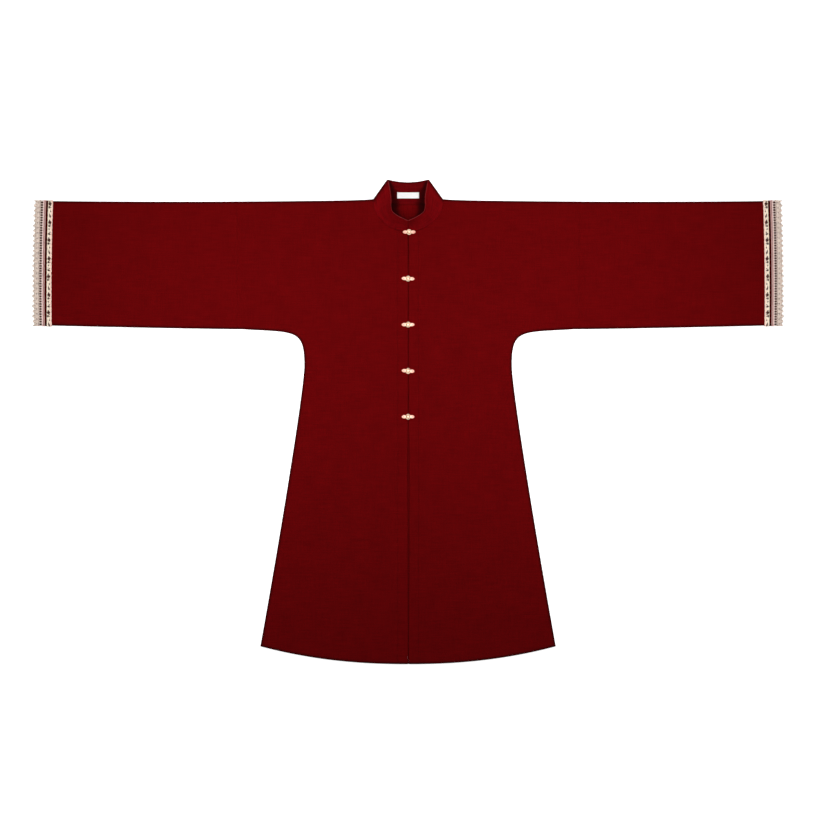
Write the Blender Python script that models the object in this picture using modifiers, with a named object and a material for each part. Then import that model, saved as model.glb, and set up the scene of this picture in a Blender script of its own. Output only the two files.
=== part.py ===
"""Hanfu robe with a stand collar, laid out flat and face up.

The robe is cut flat: each half of the body is one length of cloth that folds over the
shoulder, the two halves meet at the centre back, and each sleeve is lengthened by a second
piece joined in mid-arm. Metal clasps close the front edge to edge. Each cuff carries a woven
braid and a band of lace that passes the cloth.

Metres, +Z up. +X is the wearer's left, +Y is the collar's side, and the back of the robe
rests on z = 0. The origin is at the middle of the garment's box, on the surface below it.
"""

import math

import bmesh
import bpy
from mathutils import Vector

MM = 0.001

# ---------------------------------------------------------------- driving dimensions
# Lengths down the robe are measured from the shoulder line and are negative below it.
ROBE_LENGTH = 1.1112
COLLAR_TIP_RISE = 0.0500
SHOULDER_Y = (ROBE_LENGTH - COLLAR_TIP_RISE) / 2

CLOTH = 1.2 * MM
TRIM = 1.0 * MM
COLLAR_CLOTH = 2.4 * MM
SEAM_GAP = 0.3 * MM

# the shoulder fold is a very shallow arc, lowest in mid-sleeve, that turns up at the neck
FOLD_LOW_X = 0.560
FOLD_LOW_Y = -0.0018
FOLD_CURVE = 0.0182
FOLD_NECK_RISE = 2.0 * MM
FOLD_NECK_REACH = 0.025

# the lower edge of the sleeve, straight but for a slight belly
SLEEVE_JOIN_X = 0.410
SLEEVE_END_X = 0.8815
SLEEVE_DEPTH = 0.2993
SLEEVE_BELLY = 0.0086
BELLY_X = 0.397
BELLY_SPAN = 0.456
BELLY_POWER = 1.3
CUFF_SLANT = 0.0029 / 0.300

# cubic curves in the plane: the rounded underarm, then the flared side seam to the hem corner
UNDERARM = ((0.3974, -0.3079), (0.2710, -0.3162), (0.2490, -0.3056), (0.2490, -0.3948))
SIDE_SEAM = ((0.2490, -0.3948), (0.2490, -0.4513), (0.3118, -0.8316), (0.3545, -1.0685))
HEM_POWER = 2.2

# the neckline, and the opening that widens a little towards the hem
NECK_X = 0.0862
NECK_FRONT_Y = -0.0748
NECK_BACK_Y = -0.0065
OPENING_HALF_NECK = 0.75 * MM
OPENING_HALF_HEM = 2.0 * MM

# heights of the front layer above the back layer
PUFF = 1.2 * MM
PUFF_REACH = 0.030
NECK_LIFT = 1.4 * MM
NECK_LIFT_REACH = 0.045
PLACKET_WIDTH = 0.024
PLACKET_EDGE = 2.5 * MM
PLACKET_RAISE = 0.5 * MM

# the cuff lies on its own trims, so the cloth rises towards it and presses flat
CUFF_RISE_FROM = 0.800
CUFF_RISE_TO = 0.845
CUFF_RISE = TRIM + SEAM_GAP

# trims on the cuff, as distances from the centre line at the shoulder
BRAID_INNER_X = 0.8518
BRAID_WIDTH = 0.0127
LACE_INNER_X = 0.8686
LACE_FREE_X = 0.8840
LACE_EDGE_X = 0.9005
LACE_DROOP = 2.0 * MM
LACE_REPEATS = 12

# the clasps, from the neck down; each rests on the placket just below its own middle
CLASP_Y = (-0.0749, -0.1867, -0.2969, -0.4080, -0.5179)
CLASP_X = (0.0025, 0.0, 0.0, 0.0, 0.0)
CLASP_TILT_DEG = (0.0, -3.0, 0.0, -4.0, 0.0)
CLASP_THICK = 1.8 * MM
CLASP_BEVEL = 0.35 * MM
CLASP_BEVEL_ANGLE = math.radians(60)
CLASP_CREASE_ANGLE = math.radians(35)
CLASP_SEAT_DROP = 2.0 * MM
NECK_CLASP_PITCH_DEG = 18.0
NECK_CLASP_RISE = 1.75 * MM

# a clasp's plan: half sizes of its tall heart and its round side lobes, and the stud
HEART_HALF = (0.0055, 0.00725)
LOBE_HALF = (0.0065, 0.0059)
LOBE_X = 0.0105
WAIST_ANGLE = math.radians(54)
LOBE_ANGLE = math.radians(135)
STUD_RADIUS = 0.0036
STUD_DOME = 0.0031
STUD_RISE = 1.2 * MM

LABEL_SIZE = (0.0576, 0.0184)
LABEL_TOP = 0.0216

# ---------------------------------------------------------------- mesh densities
SEAM_LINE_STEPS = 24
JOIN_ROWS = 8
UNDERARM_ROWS = 9
SIDE_ROWS = 7
BACK_NECK_ROWS = 3
BODY_COLUMNS = 7
FOLD_STEPS = 5
SLEEVE_ROWS = 6
SLEEVE_COLUMNS_X = (0.50, 0.60, 0.70, 0.80, 0.815, 0.83, 0.845)
COLLAR_STEPS = 3
COLLAR_ROWS = 4
LABEL_COLUMNS = 6
HEART_STEPS = 2
LOBE_STEPS = 5
STUD_STEPS = 6
STUD_SEGMENTS = 10
STUD_RINGS = 6


# ---------------------------------------------------------------- small helpers
def lerp(a, b, t):
    return a + (b - a) * t


def smooth(t):
    t = min(max(t, 0.0), 1.0)
    return t * t * (3 - 2 * t)


def bezier(points, t):
    """A point on the Bezier curve of any degree through its control points."""
    points = [Vector(p) for p in points]
    while len(points) > 1:
        points = [a.lerp(b, t) for a, b in zip(points, points[1:])]
    return points[0]


def catmull_rom(p0, p1, p2, p3, t):
    return 0.5 * (
        2 * p1
        + (p2 - p0) * t
        + (2 * p0 - 5 * p1 + 4 * p2 - p3) * t * t
        + (3 * p1 - p0 - 3 * p2 + p3) * t ** 3
    )


def linear(hex_colour):
    """Turn an sRGB hex colour into the linear RGBA that Blender's shaders take."""
    channels = [int(hex_colour[i:i + 2], 16) / 255 for i in (1, 3, 5)]
    return [c / 12.92 if c <= 0.04045 else ((c + 0.055) / 1.055) ** 2.4
            for c in channels] + [1.0]


def material(name, hex_colour, roughness, metallic=0.0):
    made = bpy.data.materials.new(name)
    made.use_nodes = True
    shader = made.node_tree.nodes["Principled BSDF"]
    shader.inputs["Base Color"].default_value = linear(hex_colour)
    shader.inputs["Roughness"].default_value = roughness
    shader.inputs["Metallic"].default_value = metallic
    made.diffuse_color = linear(hex_colour)
    return made


def grid_mesh(name, rows, closed=False, flip=False):
    """Join rows of points into a sheet of quads; a closed one joins each row's ends."""
    bm = bmesh.new()
    verts = [[bm.verts.new(p) for p in row] for row in rows]
    for lower, upper in zip(verts, verts[1:]):
        count = len(lower)
        for i in range(count if closed else count - 1):
            j = (i + 1) % count
            corners = [lower[i], lower[j], upper[j], upper[i]]
            bm.faces.new(corners[::-1] if flip else corners)
    mesh = bpy.data.meshes.new(name)
    bm.to_mesh(mesh)
    bm.free()
    return mesh


def place(name, mesh, finish, collection):
    obj = bpy.data.objects.new(name, mesh)
    if not mesh.materials:
        mesh.materials.append(finish)
    collection.objects.link(obj)
    return obj


def evaluated_mesh(obj):
    """The object's mesh with its modifiers applied."""
    bpy.context.view_layer.update()
    return bpy.data.meshes.new_from_object(
        obj.evaluated_get(bpy.context.evaluated_depsgraph_get()))


def wall(obj, thickness):
    """Give a sheet its cloth thickness, half to each side."""
    solidify = obj.modifiers.new("cloth", "SOLIDIFY")
    solidify.thickness = thickness
    solidify.offset = 0.0
    solidify.use_even_offset = True


# ---------------------------------------------------------------- the cut of the robe
def fold_y(x):
    neck_rise = FOLD_NECK_RISE * math.exp(-max(x - NECK_X, 0.0) / FOLD_NECK_REACH)
    return FOLD_LOW_Y + FOLD_CURVE * (x - FOLD_LOW_X) ** 2 + neck_rise


def sleeve_bottom_y(x):
    return -SLEEVE_DEPTH - SLEEVE_BELLY * (1 - ((x - BELLY_X) / BELLY_SPAN) ** BELLY_POWER)


def hem_y(x):
    corner_x, corner_y = SIDE_SEAM[-1]
    return -ROBE_LENGTH + (corner_y + ROBE_LENGTH) * (x / corner_x) ** HEM_POWER


def cuff_shift(y):
    """The cuff is not quite square: it stands out further the lower it is."""
    return -CUFF_SLANT * y


def seam_line():
    """Points along the sewn edge: sleeve, underarm and side seam, from cuff to hem."""
    shares = [i / SEAM_LINE_STEPS for i in range(SEAM_LINE_STEPS + 1)]
    line = [Vector((x, sleeve_bottom_y(x)))
            for x in (lerp(SLEEVE_END_X, BELLY_X, share) for share in shares)]
    for curve in (UNDERARM, SIDE_SEAM):
        line += [bezier(curve, share) for share in shares]
    return line


SEAM_LINE = seam_line()


def seam_distance(x, y):
    point = Vector((x, y))
    best = math.inf
    for a, b in zip(SEAM_LINE, SEAM_LINE[1:]):
        along = b - a
        if along.length_squared == 0:
            continue
        t = min(max((point - a).dot(along) / along.length_squared, 0.0), 1.0)
        best = min(best, (point - (a + along * t)).length)
    return best


def neck_front(angle):
    """The front neckline, a quarter ellipse from the opening (0) to the shoulder (90 deg)."""
    top = fold_y(NECK_X)
    x = lerp(OPENING_HALF_NECK, NECK_X, math.sin(angle))
    return Vector((x, lerp(top, NECK_FRONT_Y, math.cos(angle))))


def neck_back(t):
    """The back neckline, a shallow curve from the shoulder (0) to the centre back (1)."""
    x = lerp(NECK_X, SEAM_GAP / 2, t)
    return Vector((x, lerp(NECK_BACK_Y, fold_y(NECK_X), (x / NECK_X) ** 2)))


def neck_distance(x, y):
    """How far a point lies outside the front neckline, nearly enough for its lift."""
    middle = fold_y(NECK_X)
    drop = middle - NECK_FRONT_Y
    scale = math.hypot(x / NECK_X, min(y - middle, 0.0) / drop)
    return max(scale - 1.0, 0.0) * (NECK_X + drop) / 2


def back_z(x):
    """Height of the middle of the back layer, which lifts over the cuff's trims."""
    return CLOTH / 2 + CUFF_RISE * smooth((x - CUFF_RISE_FROM) / (CUFF_RISE_TO - CUFF_RISE_FROM))


def layer_gap(x, y):
    """The air between the layers: little at a seam or the cuff, most around the neck."""
    puff = PUFF * (1 - math.exp(-seam_distance(x, y) / PUFF_REACH))
    puff *= 1 - smooth((x - CUFF_RISE_FROM) / (CUFF_RISE_TO - CUFF_RISE_FROM))
    lift = NECK_LIFT * math.exp(-(neck_distance(x, y) / NECK_LIFT_REACH) ** 2)
    return SEAM_GAP + puff + lift


def placket(x, y):
    """The facing folded under each front edge makes the cloth stand up along it."""
    if y > NECK_FRONT_Y:
        return 0.0
    return PLACKET_RAISE * (1 - smooth((x - PLACKET_WIDTH) / PLACKET_EDGE))


def front_z(x, y):
    return back_z(x) + CLOTH + layer_gap(x, y) + placket(x, y)


def fold_arc(x, y):
    """Points of the cloth turning over the fold, from the front layer to the back one."""
    low, high = back_z(x), front_z(x, y)
    radius = (high - low) / 2
    centre = y - CLOTH / 2 - radius
    arc = []
    for step in range(FOLD_STEPS + 1):
        angle = math.pi * step / FOLD_STEPS
        arc.append((x, centre + radius * math.sin(angle), low + radius + radius * math.cos(angle)))
    return arc


# ---------------------------------------------------------------- one half of the body
def body_ends(front):
    """The two ends of each row of a body panel, from the shoulder down to the hem."""
    outer = [Vector((SLEEVE_JOIN_X, lerp(fold_y(SLEEVE_JOIN_X), sleeve_bottom_y(SLEEVE_JOIN_X),
                                         i / JOIN_ROWS))) for i in range(JOIN_ROWS + 1)]
    outer += [bezier(UNDERARM, i / (UNDERARM_ROWS - 1)) for i in range(UNDERARM_ROWS)]
    outer += [bezier(SIDE_SEAM, i / SIDE_ROWS) for i in range(1, SIDE_ROWS + 1)]

    if front:
        inner = [neck_front(math.pi / 2 * (1 - i / JOIN_ROWS)) for i in range(JOIN_ROWS + 1)]
    else:
        inner = [neck_back(i / BACK_NECK_ROWS) for i in range(BACK_NECK_ROWS + 1)]
        below = JOIN_ROWS - BACK_NECK_ROWS
        inner += [Vector((SEAM_GAP / 2, lerp(NECK_BACK_Y, NECK_FRONT_Y, i / below)))
                  for i in range(1, below + 1)]
    waist_y = SIDE_SEAM[0][1]
    heights = [lerp(NECK_FRONT_Y, waist_y, i / UNDERARM_ROWS) for i in range(1, UNDERARM_ROWS + 1)]
    heights += [lerp(waist_y, -ROBE_LENGTH, i / SIDE_ROWS) for i in range(1, SIDE_ROWS + 1)]
    for y in heights:
        down = (y - NECK_FRONT_Y) / (-ROBE_LENGTH - NECK_FRONT_Y)
        x = lerp(OPENING_HALF_NECK, OPENING_HALF_HEM, down) if front else SEAM_GAP / 2
        inner.append(Vector((x, y)))
    return list(zip(inner, outer))


def row_fractions(width):
    """Columns stand at the placket's edge, then evenly out to the side."""
    placket_columns = [0.0, PLACKET_WIDTH / width, (PLACKET_WIDTH + PLACKET_EDGE) / width]
    rest = [lerp(placket_columns[-1], 1.0, i / BODY_COLUMNS) for i in range(1, BODY_COLUMNS + 1)]
    return placket_columns + rest


def body_panel(front):
    """Plan positions of one layer of a body half, row by row from the shoulder."""
    ends = body_ends(front)
    last = len(ends) - 1
    panel = []
    for index, (inner, outer) in enumerate(ends):
        fold_share = max(1 - index / JOIN_ROWS, 0.0)
        hem_share = max(1 - (last - index) / SIDE_ROWS, 0.0)
        first_y, last_y = fold_y(inner.x), fold_y(outer.x)
        hem_first, hem_last = hem_y(inner.x), hem_y(outer.x)
        row = []
        for t in row_fractions((outer - inner).length):
            point = inner.lerp(outer, t)
            point.y += fold_share * (fold_y(point.x) - lerp(first_y, last_y, t))
            point.y += hem_share * (hem_y(point.x) - lerp(hem_first, hem_last, t))
            row.append(point)
        panel.append(row)
    return panel


def body_half(side):
    """One length of cloth, from the front hem over the shoulder to the back hem."""
    front, back = body_panel(True), body_panel(False)
    rows = [[(p.x, p.y, front_z(p.x, p.y)) for p in row] for row in reversed(front[1:])]
    arcs = [fold_arc(p.x, p.y) for p in front[0]]
    rows += [[arc[step] for arc in arcs] for step in range(FOLD_STEPS + 1)]
    rows += [[(p.x, p.y, back_z(p.x)) for p in row] for row in back[1:]]
    return [[(side * x, y + SHOULDER_Y, z) for x, y, z in row] for row in rows]


# ---------------------------------------------------------------- sleeve end and its trims
def sleeve_end(side):
    """The outer part of a sleeve, folded at the top and open by a seam's gap below."""
    columns = (SLEEVE_JOIN_X + SEAM_GAP, *SLEEVE_COLUMNS_X, SLEEVE_END_X)
    rows = []
    for base_x in columns:
        out = (base_x - SLEEVE_JOIN_X) / (SLEEVE_END_X - SLEEVE_JOIN_X)
        top, bottom = fold_y(base_x), sleeve_bottom_y(base_x)
        arc = fold_arc(base_x, top)
        heights = [lerp(bottom, arc[0][1], i / SLEEVE_ROWS) for i in range(SLEEVE_ROWS)]
        section = [(y, front_z(base_x, y)) for y in heights]
        section += [(y, z) for x, y, z in arc]
        section += [(y, back_z(base_x)) for y in reversed(heights)]
        rows.append([(side * (base_x + out * cuff_shift(y)), y + SHOULDER_Y, z)
                     for y, z in section])
    return rows


def cuff_ring(side, base_x, marks, droop=0.0):
    """A ring round the cuff at a distance from the centre line, a seam's gap off the cloth.

    marks are the places along a face where the ring has a point, each with how far the point
    is set back from that distance. droop lowers the front layer.
    """
    cloth_radius = (CLOTH + SEAM_GAP) / 2
    stand_off = CLOTH / 2 + SEAM_GAP + TRIM / 2
    low = back_z(base_x) - stand_off
    high = low + 2 * (cloth_radius + stand_off) - droop
    radius = (high - low) / 2
    middle = (high + low) / 2
    bottom = sleeve_bottom_y(base_x)
    top = fold_y(base_x) - CLOTH / 2 - cloth_radius
    fold_set_back = marks[0][1]

    outline = []
    for start, end, turn, z in ((bottom, top, 1, high), (top, bottom, -1, low)):
        outline += [(set_back, lerp(start, end, share), z) for share, set_back in marks]
        for step in range(FOLD_STEPS):
            angle = math.pi * step / FOLD_STEPS
            outline.append((fold_set_back, end + turn * radius * math.sin(angle),
                            middle + turn * radius * math.cos(angle)))
    return [(side * (base_x - set_back + cuff_shift(y)), y + SHOULDER_Y, z)
            for set_back, y, z in outline]


def braid(side):
    """A flat woven ribbon round the cuff."""
    marks = [(i / SLEEVE_ROWS, 0.0) for i in range(SLEEVE_ROWS)]
    return [cuff_ring(side, x, marks) for x in (BRAID_INNER_X, BRAID_INNER_X + BRAID_WIDTH)]


# One repeat of the lace's edge, a long point and a short one. Each row is a corner: how far
# along the repeat it is, and how far it is set back from the longest point.
LACE_POINTS = (
    # share, set back
    (0.00, 7.5 * MM),
    (0.16, 3.0 * MM),
    (0.30, 0.0 * MM),
    (0.48, 5.5 * MM),
    (0.64, 6.5 * MM),
    (0.80, 3.0 * MM),
)


def lace(side):
    """A band of lace: its header on the cloth, its pointed edge free beyond it."""
    corners = [((repeat + share) / LACE_REPEATS, set_back)
               for repeat in range(LACE_REPEATS) for share, set_back in LACE_POINTS]
    straight = [(share, 0.0) for share, set_back in corners]
    return [
        cuff_ring(side, LACE_INNER_X, straight),
        cuff_ring(side, LACE_FREE_X, straight),
        cuff_ring(side, LACE_EDGE_X, corners, LACE_DROOP),
    ]


# ---------------------------------------------------------------- collar and label
# Half the collar, from the centre back round the side fold to the opening. Each row is a
# section of the band, in millimetres: its foot, its rim, and how far its middle hangs.
COLLAR_SECTIONS = (
    # foot x,  y,     z,   rim x,  y,     z,   hang
    (0.0, -8.4, 2.75, 0.0, 44.4, 5.2, 0.2),
    (31.0, -7.6, 2.75, 25.0, 46.2, 6.2, 0.2),
    (60.0, -4.6, 2.8, 40.5, 48.8, 8.8, 0.2),
    (78.5, -1.6, 3.0, 46.8, 49.8, 11.4, 0.3),
    (83.6, -0.8, 3.9, 49.4, 49.2, 13.4, 0.4),
    (84.0, -4.0, 5.0, 47.2, 45.2, 16.4, 0.6),
    (81.0, -19.0, 5.2, 40.6, 11.0, 24.0, 2.0),
    (72.6, -36.8, 5.2, 38.5, -15.0, 27.0, 3.5),
    (54.0, -56.0, 5.2, 35.5, -29.0, 29.0, 5.5),
    (35.0, -66.3, 5.3, 23.5, -39.6, 31.0, 8.0),
    (16.0, -71.6, 5.4, 11.0, -47.4, 32.5, 10.0),
    (0.75, -73.0, 5.4, 0.75, -53.5, 33.0, 11.0),
)


def collar_section(position):
    """Foot, rim and hang of the band at a position counted in rows of its table."""
    rows = COLLAR_SECTIONS
    index = min(int(position), len(rows) - 2)
    t = position - index
    first = rows[index]
    second = rows[index + 1]
    mirrored = (-second[0], second[1], second[2], -second[3], *second[4:])
    carried_on = [2 * b - a for a, b in zip(first, second)]
    before = rows[index - 1] if index else mirrored
    after = rows[index + 2] if index + 2 < len(rows) else carried_on
    values = [catmull_rom(*four, t) * MM for four in zip(before, first, second, after)]
    return Vector(values[0:3]), Vector(values[3:6]), values[6]


def collar_point(position, height):
    """A point of the band's middle surface: height is 0 at its foot and 1 at its rim."""
    foot, rim, hang = collar_section(position)
    middle = foot.lerp(rim, 0.5) - Vector((0, 0, hang))
    return bezier((foot, middle, rim), height)


def collar_half():
    sections = (len(COLLAR_SECTIONS) - 1) * COLLAR_STEPS
    rows = []
    for i in range(sections + 1):
        points = [collar_point(i / COLLAR_STEPS, j / COLLAR_ROWS) for j in range(COLLAR_ROWS + 1)]
        rows.append([(p.x, p.y + SHOULDER_Y, p.z) for p in points])
    return rows


def neck_label():
    """A blank woven label on the inner face of the collar, at the centre back."""
    width, depth = LABEL_SIZE
    lift = COLLAR_CLOTH / 2 + SEAM_GAP + TRIM / 2
    foot, rim, hang = collar_section(0)
    rows = []
    for edge_y in (LABEL_TOP - depth, LABEL_TOP):
        height = (edge_y - foot.y) / (rim.y - foot.y)
        row = []
        for i in range(LABEL_COLUMNS + 1):
            x = lerp(-width / 2, width / 2, i / LABEL_COLUMNS)
            position = abs(x) / collar_point(1, height).x
            point = collar_point(position, height)
            row.append((math.copysign(point.x, x), point.y + SHOULDER_Y, point.z + lift))
        rows.append(row)
    return rows


# ---------------------------------------------------------------- clasps
def clasp_upper_edge():
    """Half the outline of a clasp's plate, from the tip of its heart to the end of a lobe."""
    heart = [(HEART_HALF[0] * math.sin(a), HEART_HALF[1] * math.cos(a))
             for a in (WAIST_ANGLE * i / HEART_STEPS for i in range(HEART_STEPS + 1))]
    lobe = [(LOBE_X + LOBE_HALF[0] * math.cos(a), LOBE_HALF[1] * math.sin(a))
            for a in (LOBE_ANGLE * (1 - i / LOBE_STEPS) for i in range(LOBE_STEPS + 1))]
    heart[0] = (SEAM_GAP / 2, HEART_HALF[1])
    return heart + lobe


def clasp_outline(side):
    """One half of a clasp in plan: +1 carries the stud, -1 is notched to ring it."""
    upper = clasp_upper_edge()
    lower = [(x, -y) for x, y in reversed(upper[:-1])]
    radius = STUD_RADIUS if side > 0 else STUD_RADIUS + SEAM_GAP
    arc = []
    for i in range(STUD_STEPS + 1):
        angle = math.pi * (i / STUD_STEPS - 0.5)
        arc.append((SEAM_GAP / 2 - side * radius * math.cos(angle), radius * math.sin(angle)))
    return [(side * x, y) for x, y in upper + lower + arc]


def clasp_plate(side):
    """The outline raised to the plate's thickness, standing on z = 0."""
    curve = bpy.data.curves.new("clasp outline", "CURVE")
    curve.dimensions = "2D"
    curve.fill_mode = "BOTH"
    curve.extrude = CLASP_THICK / 2
    outline = clasp_outline(side)
    spline = curve.splines.new("POLY")
    spline.points.add(len(outline) - 1)
    for target, (x, y) in zip(spline.points, outline):
        target.co = (x, y, 0.0, 1.0)
    spline.use_cyclic_u = True
    guide = bpy.data.objects.new("clasp outline", curve)
    bpy.context.scene.collection.objects.link(guide)
    mesh = evaluated_mesh(guide)
    bpy.data.objects.remove(guide)
    bm = bmesh.new()
    bm.from_mesh(mesh)
    bmesh.ops.remove_doubles(bm, verts=bm.verts, dist=MM / 100)
    bmesh.ops.translate(bm, verts=bm.verts, vec=(0, 0, CLASP_THICK / 2))
    bm.to_mesh(mesh)
    bm.free()
    return mesh


def stud_mesh():
    """The round stud that stands up at the middle of a clasp."""
    bm = bmesh.new()
    bmesh.ops.create_uvsphere(bm, u_segments=STUD_SEGMENTS, v_segments=STUD_RINGS,
                              radius=STUD_DOME)
    bmesh.ops.scale(bm, verts=bm.verts, vec=(1, 1, STUD_RISE / STUD_DOME))
    bmesh.ops.translate(bm, verts=bm.verts, vec=(0, 0, CLASP_THICK))
    mesh = bpy.data.meshes.new("stud")
    bm.to_mesh(mesh)
    bm.free()
    return mesh


def clasp_half(side):
    """One bevelled half of a clasp; the wearer's left half has the stud joined on."""
    helpers = bpy.context.scene.collection.objects
    blank = bpy.data.objects.new("clasp blank", clasp_plate(side))
    helpers.link(blank)
    bevel = blank.modifiers.new("worn edge", "BEVEL")
    bevel.width = CLASP_BEVEL
    bevel.segments = 1
    bevel.limit_method = "ANGLE"
    bevel.angle_limit = CLASP_BEVEL_ANGLE
    stud = None
    if side > 0:
        stud = bpy.data.objects.new("stud", stud_mesh())
        helpers.link(stud)
        union = blank.modifiers.new("stud", "BOOLEAN")
        union.operation = "UNION"
        union.object = stud
    mesh = evaluated_mesh(blank)
    mesh.materials.clear()
    mesh.shade_smooth()
    mesh.set_sharp_from_angle(angle=CLASP_CREASE_ANGLE)
    for helper in filter(None, (blank, stud)):
        bpy.data.objects.remove(helper)
    return mesh


def add_clasps(collection, finish):
    """Five clasps, each of two halves hung on an empty at its seat."""
    halves = {"left": clasp_half(1), "right": clasp_half(-1)}
    for number, (x, y, tilt) in enumerate(zip(CLASP_X, CLASP_Y, CLASP_TILT_DEG), start=1):
        seat = bpy.data.objects.new(f"clasp {number} seat", None)
        collection.objects.link(seat)
        height = front_z(PLACKET_WIDTH / 2, y - CLASP_SEAT_DROP) + CLOTH / 2 + SEAM_GAP
        pitch = 0.0
        if number == 1:
            height += NECK_CLASP_RISE
            pitch = math.radians(NECK_CLASP_PITCH_DEG)
        seat.location = (x, y + SHOULDER_Y, height)
        seat.rotation_euler = (pitch, 0, math.radians(tilt))
        for word, mesh in halves.items():
            half = place(f"clasp_{number}_{word}", mesh, finish, collection)
            half.parent = seat


# ---------------------------------------------------------------- the robe
def add_side(side, word, collection, cloth, ribbon, thread):
    """The pieces on one side of the robe; the sheets of the other side are wound backwards."""
    pieces = (
        ("robe_half", body_half(side), False, cloth, CLOTH),
        ("sleeve_end", sleeve_end(side), False, cloth, CLOTH),
        ("braid", braid(side), True, ribbon, TRIM),
        ("lace", lace(side), True, thread, TRIM),
    )
    for piece, rows, closed, finish, thickness in pieces:
        name = f"{piece}_{word}"
        obj = place(name, grid_mesh(name, rows, closed, flip=side > 0), finish, collection)
        wall(obj, thickness)


def add_collar(collection, cloth, tape):
    """The stand collar, mirrored from one half, and the label inside it."""
    collar = place("collar", grid_mesh("collar", collar_half()), cloth, collection)
    collar.data.shade_smooth()
    mirror = collar.modifiers.new("other half", "MIRROR")
    mirror.merge_threshold = 0.0001
    wall(collar, COLLAR_CLOTH)
    label = place("neck_label", grid_mesh("neck_label", neck_label()), tape, collection)
    wall(label, TRIM)


def main():
    for obj in list(bpy.data.objects):
        bpy.data.objects.remove(obj)
    robe = bpy.data.collections.new("hanfu robe")
    bpy.context.scene.collection.children.link(robe)

    cloth = material("plain-woven cloth, deep red", "#670508", 0.9)
    ribbon = material("woven ribbon, cream and bronze", "#ffe6c8", 0.6)
    thread = material("guipure lace, champagne", "#cdb7aa", 0.8)
    metal = material("cast zinc, pale rose gold", "#e8c4ae", 0.3, 1.0)
    tape = material("woven satin tape, white", "#f4f1ec", 0.6)

    for side, word in ((1, "left"), (-1, "right")):
        add_side(side, word, robe, cloth, ribbon, thread)
    add_collar(robe, cloth, tape)
    add_clasps(robe, metal)


main()
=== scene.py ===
# %% [markdown]
# # A hanfu robe, laid out flat
#
# This notebook dresses a plain solid model of a robe. The solids already have the right size
# and place, so nothing here moves them. Each piece of cloth, braid, lace and metal is made
# again with the detail a tailor would see, in the same place, and then stands for its solid.
#
# Everything is in metres. +X is the wearer's left, +Y is the collar's side, +Z is up, and the
# back of the robe rests on z = 0.

import math
from collections import namedtuple

import bmesh
import bpy
import numpy as np
from mathutils import Matrix, Vector


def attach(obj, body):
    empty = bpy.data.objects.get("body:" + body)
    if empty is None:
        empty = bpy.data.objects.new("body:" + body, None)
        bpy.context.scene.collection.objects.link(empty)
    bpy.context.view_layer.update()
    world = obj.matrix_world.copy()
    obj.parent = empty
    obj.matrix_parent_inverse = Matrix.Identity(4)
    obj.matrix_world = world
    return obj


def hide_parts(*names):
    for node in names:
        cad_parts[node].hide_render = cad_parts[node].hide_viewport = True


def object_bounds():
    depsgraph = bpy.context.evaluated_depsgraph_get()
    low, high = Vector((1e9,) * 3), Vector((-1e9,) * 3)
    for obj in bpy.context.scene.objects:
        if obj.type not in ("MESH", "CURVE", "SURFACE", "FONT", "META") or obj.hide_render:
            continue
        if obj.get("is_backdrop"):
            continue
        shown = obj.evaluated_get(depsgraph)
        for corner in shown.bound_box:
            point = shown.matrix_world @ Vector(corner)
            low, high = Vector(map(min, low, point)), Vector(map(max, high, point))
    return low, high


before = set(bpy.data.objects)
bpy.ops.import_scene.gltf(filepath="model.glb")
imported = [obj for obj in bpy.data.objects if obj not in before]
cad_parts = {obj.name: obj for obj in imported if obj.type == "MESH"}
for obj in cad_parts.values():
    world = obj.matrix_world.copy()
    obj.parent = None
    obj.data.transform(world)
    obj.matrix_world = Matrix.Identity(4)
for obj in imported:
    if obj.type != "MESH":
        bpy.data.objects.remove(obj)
cad_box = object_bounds()
print(len(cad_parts), "solids, box", [round(v, 4) for corner in cad_box for v in corner])

# %% [markdown]
# ## The camera
#
# The robe is seen straight from above. A long lens far away keeps the picture nearly free of
# perspective, so that the raised collar doesn't look larger than the hem. The picture's width
# is a little more than the span of the sleeves.

# %% Camera
MM = 0.001
ROBE_LENGTH = 1.1112
SHOULDER_Y = 0.5306
VIEW_WIDTH = 1.968
VIEW_CENTRE = (0.0046, 0.0290)
CAMERA_HEIGHT = 5.0
SENSOR = 36.0

scene = bpy.context.scene
camera_data = bpy.data.cameras.new("camera above")
camera_data.sensor_width = SENSOR
camera_data.lens = SENSOR * CAMERA_HEIGHT / VIEW_WIDTH
camera = bpy.data.objects.new("camera above", camera_data)
camera.location = (*VIEW_CENTRE, CAMERA_HEIGHT)
scene.collection.objects.link(camera)
scene.camera = camera
print("lens", round(camera_data.lens, 1), "mm")

# %% [markdown]
# ## Colours and shader nodes
#
# Shades are written as sRGB hex values, the way a dyer's chart gives them, and one function
# turns them to the linear values that the renderer works in. A second small function adds a
# shader node, sets its fields and its sockets, and links whatever feeds it. Every material
# below is made with these two.


# %% Colour and node helpers
def linear(hex_colour):
    channels = [int(hex_colour[i:i + 2], 16) / 255 for i in (1, 3, 5)]
    return [c / 12.92 if c <= 0.04045 else ((c + 0.055) / 1.055) ** 2.4
            for c in channels] + [1.0]


def add_node(tree, kind, inputs=None, **settings):
    """Add a node. inputs gives each socket a value, or a node or a socket to link to it."""
    node = tree.nodes.new(kind)
    for field, value in settings.items():
        setattr(node, field, value)
    for key, value in (inputs or {}).items():
        if isinstance(value, bpy.types.Node):
            value = value.outputs[0]
        if isinstance(value, bpy.types.NodeSocket):
            tree.links.new(value, node.inputs[key])
        else:
            node.inputs[key].default_value = value
    return node


def new_material(name, **constants):
    """A Principled material, with its constants set straight on the shader's sockets."""
    material = bpy.data.materials.new(name)
    material.use_nodes = True
    shader = material.node_tree.nodes["Principled BSDF"]
    for socket, value in constants.items():
        shader.inputs[socket.replace("_", " ")].default_value = value
    return material, material.node_tree, shader


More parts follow.
